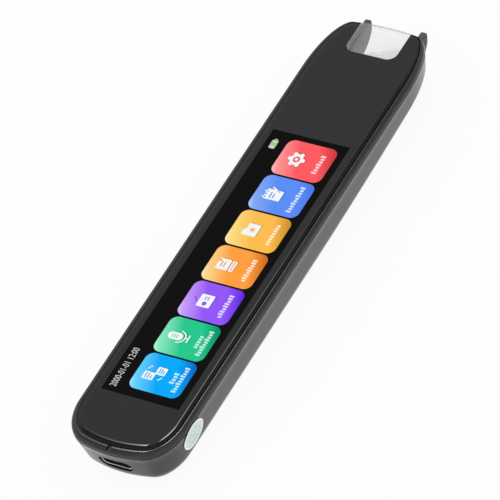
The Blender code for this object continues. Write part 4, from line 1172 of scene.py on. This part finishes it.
def makeBatterySign(p):
    centre = (p["place"][0] * mm, p["place"][1] * mm)
    bm = bmesh.new()
    shapes = [(p["body"], 0.0, "sign", 0), (p["cap"], p["capU"], "sign", 0)]
    shapes += [(p["charge"], 0.0, "signPart", 1)]
    shapes += [(p["blank"], u, "signPart", 2) for u in p["blanksU"]]
    for size, u, layer, finishIndex in shapes:
        addPicture(bm, roundRect(*size, (u, 0.0)), centre, layer, finishIndex)
    looks = (("signGrey", "grey"), ("signGreen", "green"), ("signLight", "light"))
    sign = newPiece("batterySign", bm, [plainGlow(name, *p[colours]) for name, colours in looks])
    settle(sign)


makeClock(clock)
makeBatterySign(batterySign)
print("screen pictures made")


# Finishes of the pieces inside, which keep their solids' shapes
boardLook = {
    "mask": (0.008, 0.075, 0.032), "maskShade": 0.85, "track": (0.02, 0.15, 0.06),
    "copper": (0.60, 0.45, 0.18), "scale": 260.0, "gap": 0.035, "brick": (1.4, 0.35),
    "viaScale": 420.0, "viaEdge": (0.13, 0.16), "rough": (0.32, 0.5), "bump": (0.3, 0.00003),
}
ribbonLook = {
    "base": (0.24, 0.09, 0.015), "line": (0.42, 0.17, 0.03), "edge": (0.4, 0.6), "scale": 900.0,
    "rough": (0.3, 0.45), "bump": (0.25, 0.00002),
}


def boardFinish(name, p):
    finish, net, shader = newFinish(name)
    spot = placeNode(net)
    tracks = addNode(net, "TexBrick", {
        "Vector": spot, "Scale": p["scale"], "Mortar Size": p["gap"],
        "Brick Width": p["brick"][0], "Row Height": p["brick"][1],
        "Color1": (*p["mask"], 1.0), "Color2": (*tinted(p["mask"], p["maskShade"]), 1.0),
        "Mortar": (*p["track"], 1.0),
    }, "Color")
    relief = tracks.node.outputs["Fac"]
    vias = addNode(net, "TexVoronoi", {"Vector": spot, "Scale": p["viaScale"]}, "Distance")
    spots = mottle(net, vias, (1.0, 1.0, 1.0), (0.0, 0.0, 0.0), p["viaEdge"])
    feed(net, shader, {
        "IOR": 1.5, "Base Color": mixNode(net, spots, tracks, (*p["copper"], 1.0)),
        "Roughness": spanNode(net, relief, 0.0, 1.0, *p["rough"]),
        "Normal": bumpNode(net, relief, *p["bump"]),
    })
    return finish


def ribbonFinish(name, p):
    # Fine parallel lines along the pen
    finish, net, shader = newFinish(name)
    lines = addNode(net, "TexWave", {"Vector": placeNode(net), "Scale": p["scale"]}, "Fac")
    feed(net, shader, {
        "IOR": 1.5, "Base Color": mottle(net, lines, p["base"], p["line"], p["edge"]),
        "Roughness": spanNode(net, lines, 0.0, 1.0, *p["rough"]),
        "Normal": bumpNode(net, lines, *p["bump"]),
    })
    return finish


def dress(finish, *members):
    for member in members:
        slots = nodes[member].material_slots
        for slotIndex in range(len(slots)):
            slots[slotIndex].material = finish


dress(boardFinish("circuitBoard", boardLook), "main_board", "charge_board", "light_board")
dress(ribbonFinish("ribbonFilm", ribbonLook), "display_ribbon", "camera_ribbon", "link_ribbon")
dress(clearFinish, "lens_cover")
screwFinish = surfaceFinish(
    "screwSteel", (0.50, 0.50, 0.50), (0.64, 0.64, 0.63), (0.25, 0.38), metal=1.0,
)
dress(
    screwFinish, "charge_screw_left", "charge_screw_right", "main_screw_left", "main_screw_right",
)
# Dark and light colour, roughness, what differs from the usual finish, and the nodes
insideLooks = {
    "chipResin": (
        (0.012, 0.012, 0.013), (0.022, 0.022, 0.023), (0.45, 0.6), {},
        "processor_chip", "memory_chip", "charge_chip", "camera_housing", "speaker",
    ),
    "tinnedCan": (
        (0.55, 0.55, 0.54), (0.68, 0.68, 0.66), (0.28, 0.42),
        {"metal": 1.0, "stretch": (1.0, 0.2, 1.0)}, "shield_can", "wireless_module", "microphone",
    ),
    "cellFoil": (
        (0.40, 0.41, 0.43), (0.52, 0.53, 0.55), (0.3, 0.45),
        {"metal": 0.6, "tintScale": 200.0, "grainScale": 700.0, "grainDepth": 0.00006, "bump": 0.3},
        "battery",
    ),
    "foam": (
        (0.007, 0.007, 0.007), (0.018, 0.018, 0.018), (0.85, 0.98),
        {"grainScale": 3500.0, "grainDepth": 0.00008, "bump": 0.6},
        "glass_gasket", "battery_pad", "speaker_gasket",
    ),
    "mouldedBlack": (
        (0.012, 0.012, 0.012), (0.022, 0.022, 0.022), (0.5, 0.62), {},
        "trigger_switch", "power_switch", "light_baffle",
    ),
    "lampWhite": (
        (0.78, 0.77, 0.68), (0.88, 0.87, 0.78), (0.3, 0.4), {},
        "scan_lamp_left", "scan_lamp_right", "trigger_plunger", "power_plunger",
    ),
    "lensGlass": (
        (0.02, 0.02, 0.05), (0.05, 0.04, 0.09), (0.03, 0.06),
        {"ior": 1.6, "grainScale": 800.0, "grainDepth": 0.000002, "bump": 0.05}, "camera_lens",
    ),
    "leadRed": ((0.42, 0.015, 0.015), (0.55, 0.03, 0.03), (0.4, 0.5), {}, "battery_lead_red"),
    "leadBlack": (
        (0.010, 0.010, 0.010), (0.018, 0.018, 0.018), (0.4, 0.5), {}, "battery_lead_black",
    ),
    "conePaper": (
        (0.035, 0.035, 0.035), (0.065, 0.062, 0.058), (0.75, 0.9),
        {"grainScale": 4000.0, "grainDepth": 0.00005, "bump": 0.5}, "speaker_cone",
    ),
    "panelBlack": (
        (0.004, 0.004, 0.005), (0.008, 0.008, 0.009), (0.18, 0.28), {}, "display_panel",
    ),
}
for finishName, (dark, light, rough, others, *members) in insideLooks.items():
    dress(surfaceFinish(finishName, dark, light, rough, **others), *members)
print("inside pieces finished")


# The two coil springs behind the nib fork
nibSpring = {
    "x": 0.0083, "y": (0.041544, 0.045305), "z": 0.0049, "radius": 0.0011, "wire": 0.0002,
    "turns": 5, "steps": 24, "sides": 10, "smoothAngle": 40.0, "keep": 0.84,
}


def makeNibSpring(name, node, side, p):
    first, last = p["y"][0] + p["wire"], p["y"][1] - p["wire"]
    centreX = side * p["x"]
    total = p["turns"] * p["steps"]
    rings = []
    for i in range(total + 1):
        a = 2 * pi * i / p["steps"]
        middle = (p["radius"] - p["wire"], first + (last - first) * i / total)
        rings.append([
            (centreX + reach * cos(a), y, p["z"] + reach * sin(a))
            for reach, y in circlePoints(p["wire"], middle, p["sides"])
        ])
    bm = bmesh.new()
    loft(bm, rings)
    spring = newPiece(name, bm, [screwFinish], p["smoothAngle"])
    settle(spring, [node])
    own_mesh(spring)


makeNibSpring("nibSpringLeft", "nib_spring_left", -1, nibSpring)
makeNibSpring("nibSpringRight", "nib_spring_right", 1, nibSpring)
print("springs made")


# Pale floor that keeps a faint shadow, white beyond it, and soft light all round. Areas of the
# sky are given as where each side starts and ends, and the bright arc's levels by its angle
studio = {
    "floorSize": 3.0, "floorZ": -0.00004, "floorColour": (0.92, 0.92, 0.92, 1.0),
    "floorRough": 0.9, "floorGlow": 0.93,
    "white": (1.0, 1.0, 1.0, 1.0), "worldStrength": 1.0, "horizon": (0.0, 0.05), "dimTo": 0.72,
    "dimAreas": (
        ((-0.10, 0.00, 0.80, 0.90), (0.30, 0.36, 0.62, 0.70)),
        ((-0.70, -0.62, -0.30, -0.24), (-0.90, -0.80, 0.08, 0.17)),
        ((-0.24, -0.15, 0.45, 0.55), (-0.55, -0.45, 0.22, 0.30)),
    ),
    "mirrorX": -0.485, "mirrorY": 0.4985, "arcStrength": 26.0,
    "arcReach": (0.085, 0.105, 0.13, 0.15), "arcTurn": (-60.0, 120.0),
    "arcLevels": (
        (-60, 0.0), (-30, 0.01), (-18, 0.03), (-12, 0.09), (-8, 0.13), (-5, 0.18), (-2, 0.28),
        (1, 0.38), (4, 0.58), (7, 0.76), (12, 0.78), (14, 0.0), (39, 0.0), (41, 0.62),
        (62, 0.66), (69, 0.39), (74, 0.20), (77, 0.15), (80, 0.145), (83, 0.12), (86, 0.095),
        (91, 0.04), (95, 0.012), (120, 0.0),
    ),
    "shadeReach": (0.15, 0.175, 0.34, 0.46), "shadeTurn": (-50.0, -25.0, 95.0, 110.0),
    "shadeTo": 0.4,
}


def floorFinish(p):
    # What the camera or a mirror sees of the floor is mostly plain white, the rest takes shadow
    finish, net, shader = newFinish("studioFloor")
    feed(net, shader, {
        "Roughness": p["floorRough"], "Specular IOR Level": 0.0, "Base Color": p["floorColour"],
    })
    rays = net.nodes.new("ShaderNodeLightPath").outputs
    seen = mathNode(net, "MAXIMUM", rays["Is Camera Ray"], rays["Is Glossy Ray"])
    through = mathNode(net, "MAXIMUM", seen, rays["Is Transmission Ray"])
    share = mathNode(net, "MULTIPLY", through, p["floorGlow"])
    glow = addNode(net, "Emission", {"Strength": 1.0}, "Emission")
    mixed = addNode(net, "MixShader", {0: share, 1: shader.outputs["BSDF"], 2: glow}, "Shader")
    feed(net, net.nodes["Material Output"], {"Surface": mixed})
    return finish


def within(net, value, span):
    # One inside the span, with soft ends
    startLow, startHigh, endHigh, endLow = span
    rise = spanNode(net, value, startLow, startHigh)
    return mathNode(net, "MULTIPLY", rise, spanNode(net, value, endLow, endHigh))


def skyArea(net, above, axes, spans):
    area = above
    for axis, span in zip("XY", spans):
        area = mathNode(net, "MULTIPLY", area, within(net, axes[axis], span))
    return area


def edgeGlow(net, above, axes, p):
    # A thin arc of light round the direction that the flat glass mirrors, with a dimmer arc
    # outside it, so both show along rounded edges only
    across = mathNode(net, "SUBTRACT", axes["X"], p["mirrorX"])
    along = mathNode(net, "SUBTRACT", p["mirrorY"], axes["Y"])
    squares = [mathNode(net, "MULTIPLY", side, side) for side in (across, along)]
    reach = mathNode(net, "POWER", mathNode(net, "ADD", *squares), 0.5)
    angle = mathNode(net, "ARCTAN2", across, along)
    first, last = p["arcTurn"]
    turn = spanNode(net, angle, radians(first), radians(last))
    stops = [((place - first) / (last - first), (level,) * 3) for place, level in p["arcLevels"]]
    lit = mathNode(net, "MULTIPLY", within(net, reach, p["arcReach"]), rampNode(net, turn, stops))
    glow = mathNode(net, "MULTIPLY", mathNode(net, "MULTIPLY", lit, above), p["arcStrength"])
    shade = 1.0 - p["shadeTo"]
    turns = [radians(place) for place in p["shadeTurn"]]
    for value, span in ((reach, p["shadeReach"]), (angle, turns)):
        shade = mathNode(net, "MULTIPLY", within(net, value, span), shade)
    return glow, mathNode(net, "SUBTRACT", 1.0, shade)


def makeStudio(p):
    half, z = p["floorSize"] / 2, p["floorZ"]
    bm = bmesh.new()
    corners = ((-half, -half), (half, -half), (half, half), (-half, half))
    bm.faces.new([bm.verts.new((x, y, z)) for x, y in corners])
    floor = newPiece("studioFloor", bm, [floorFinish(p)])
    world = bpy.data.worlds.new("studioWorld")
    bpy.context.scene.world = world
    world.use_nodes = True
    net = world.node_tree
    where = addNode(net, "TexCoord", {}, "Generated")
    axes = addNode(net, "SeparateXYZ", {"Vector": where}, "Z").node.outputs
    above = spanNode(net, axes["Z"], *p["horizon"])
    level = p["worldStrength"]
    for spans in p["dimAreas"]:
        dimmed = mathNode(net, "MULTIPLY", skyArea(net, above, axes, spans), 1.0 - p["dimTo"])
        level = mathNode(net, "SUBTRACT", level, dimmed)
    glow, shade = edgeGlow(net, above, axes, p)
    level = mathNode(net, "ADD", mathNode(net, "MULTIPLY", level, shade), glow)
    sky = net.nodes["Background"]
    feed(net, sky, {"Color": p["white"], "Strength": level})
    beyond = addNode(net, "Background", {"Color": p["white"]}, "Background")
    rays = net.nodes.new("ShaderNodeLightPath").outputs
    seen = rays["Is Camera Ray"]
    shown = addNode(net, "MixShader", {0: seen, 1: sky.outputs[0], 2: beyond}, "Shader")
    feed(net, net.nodes["World Output"], {"Surface": shown})
    bpy.context.scene.view_settings.view_transform = "Standard"


makeStudio(studio)
print("studio made")
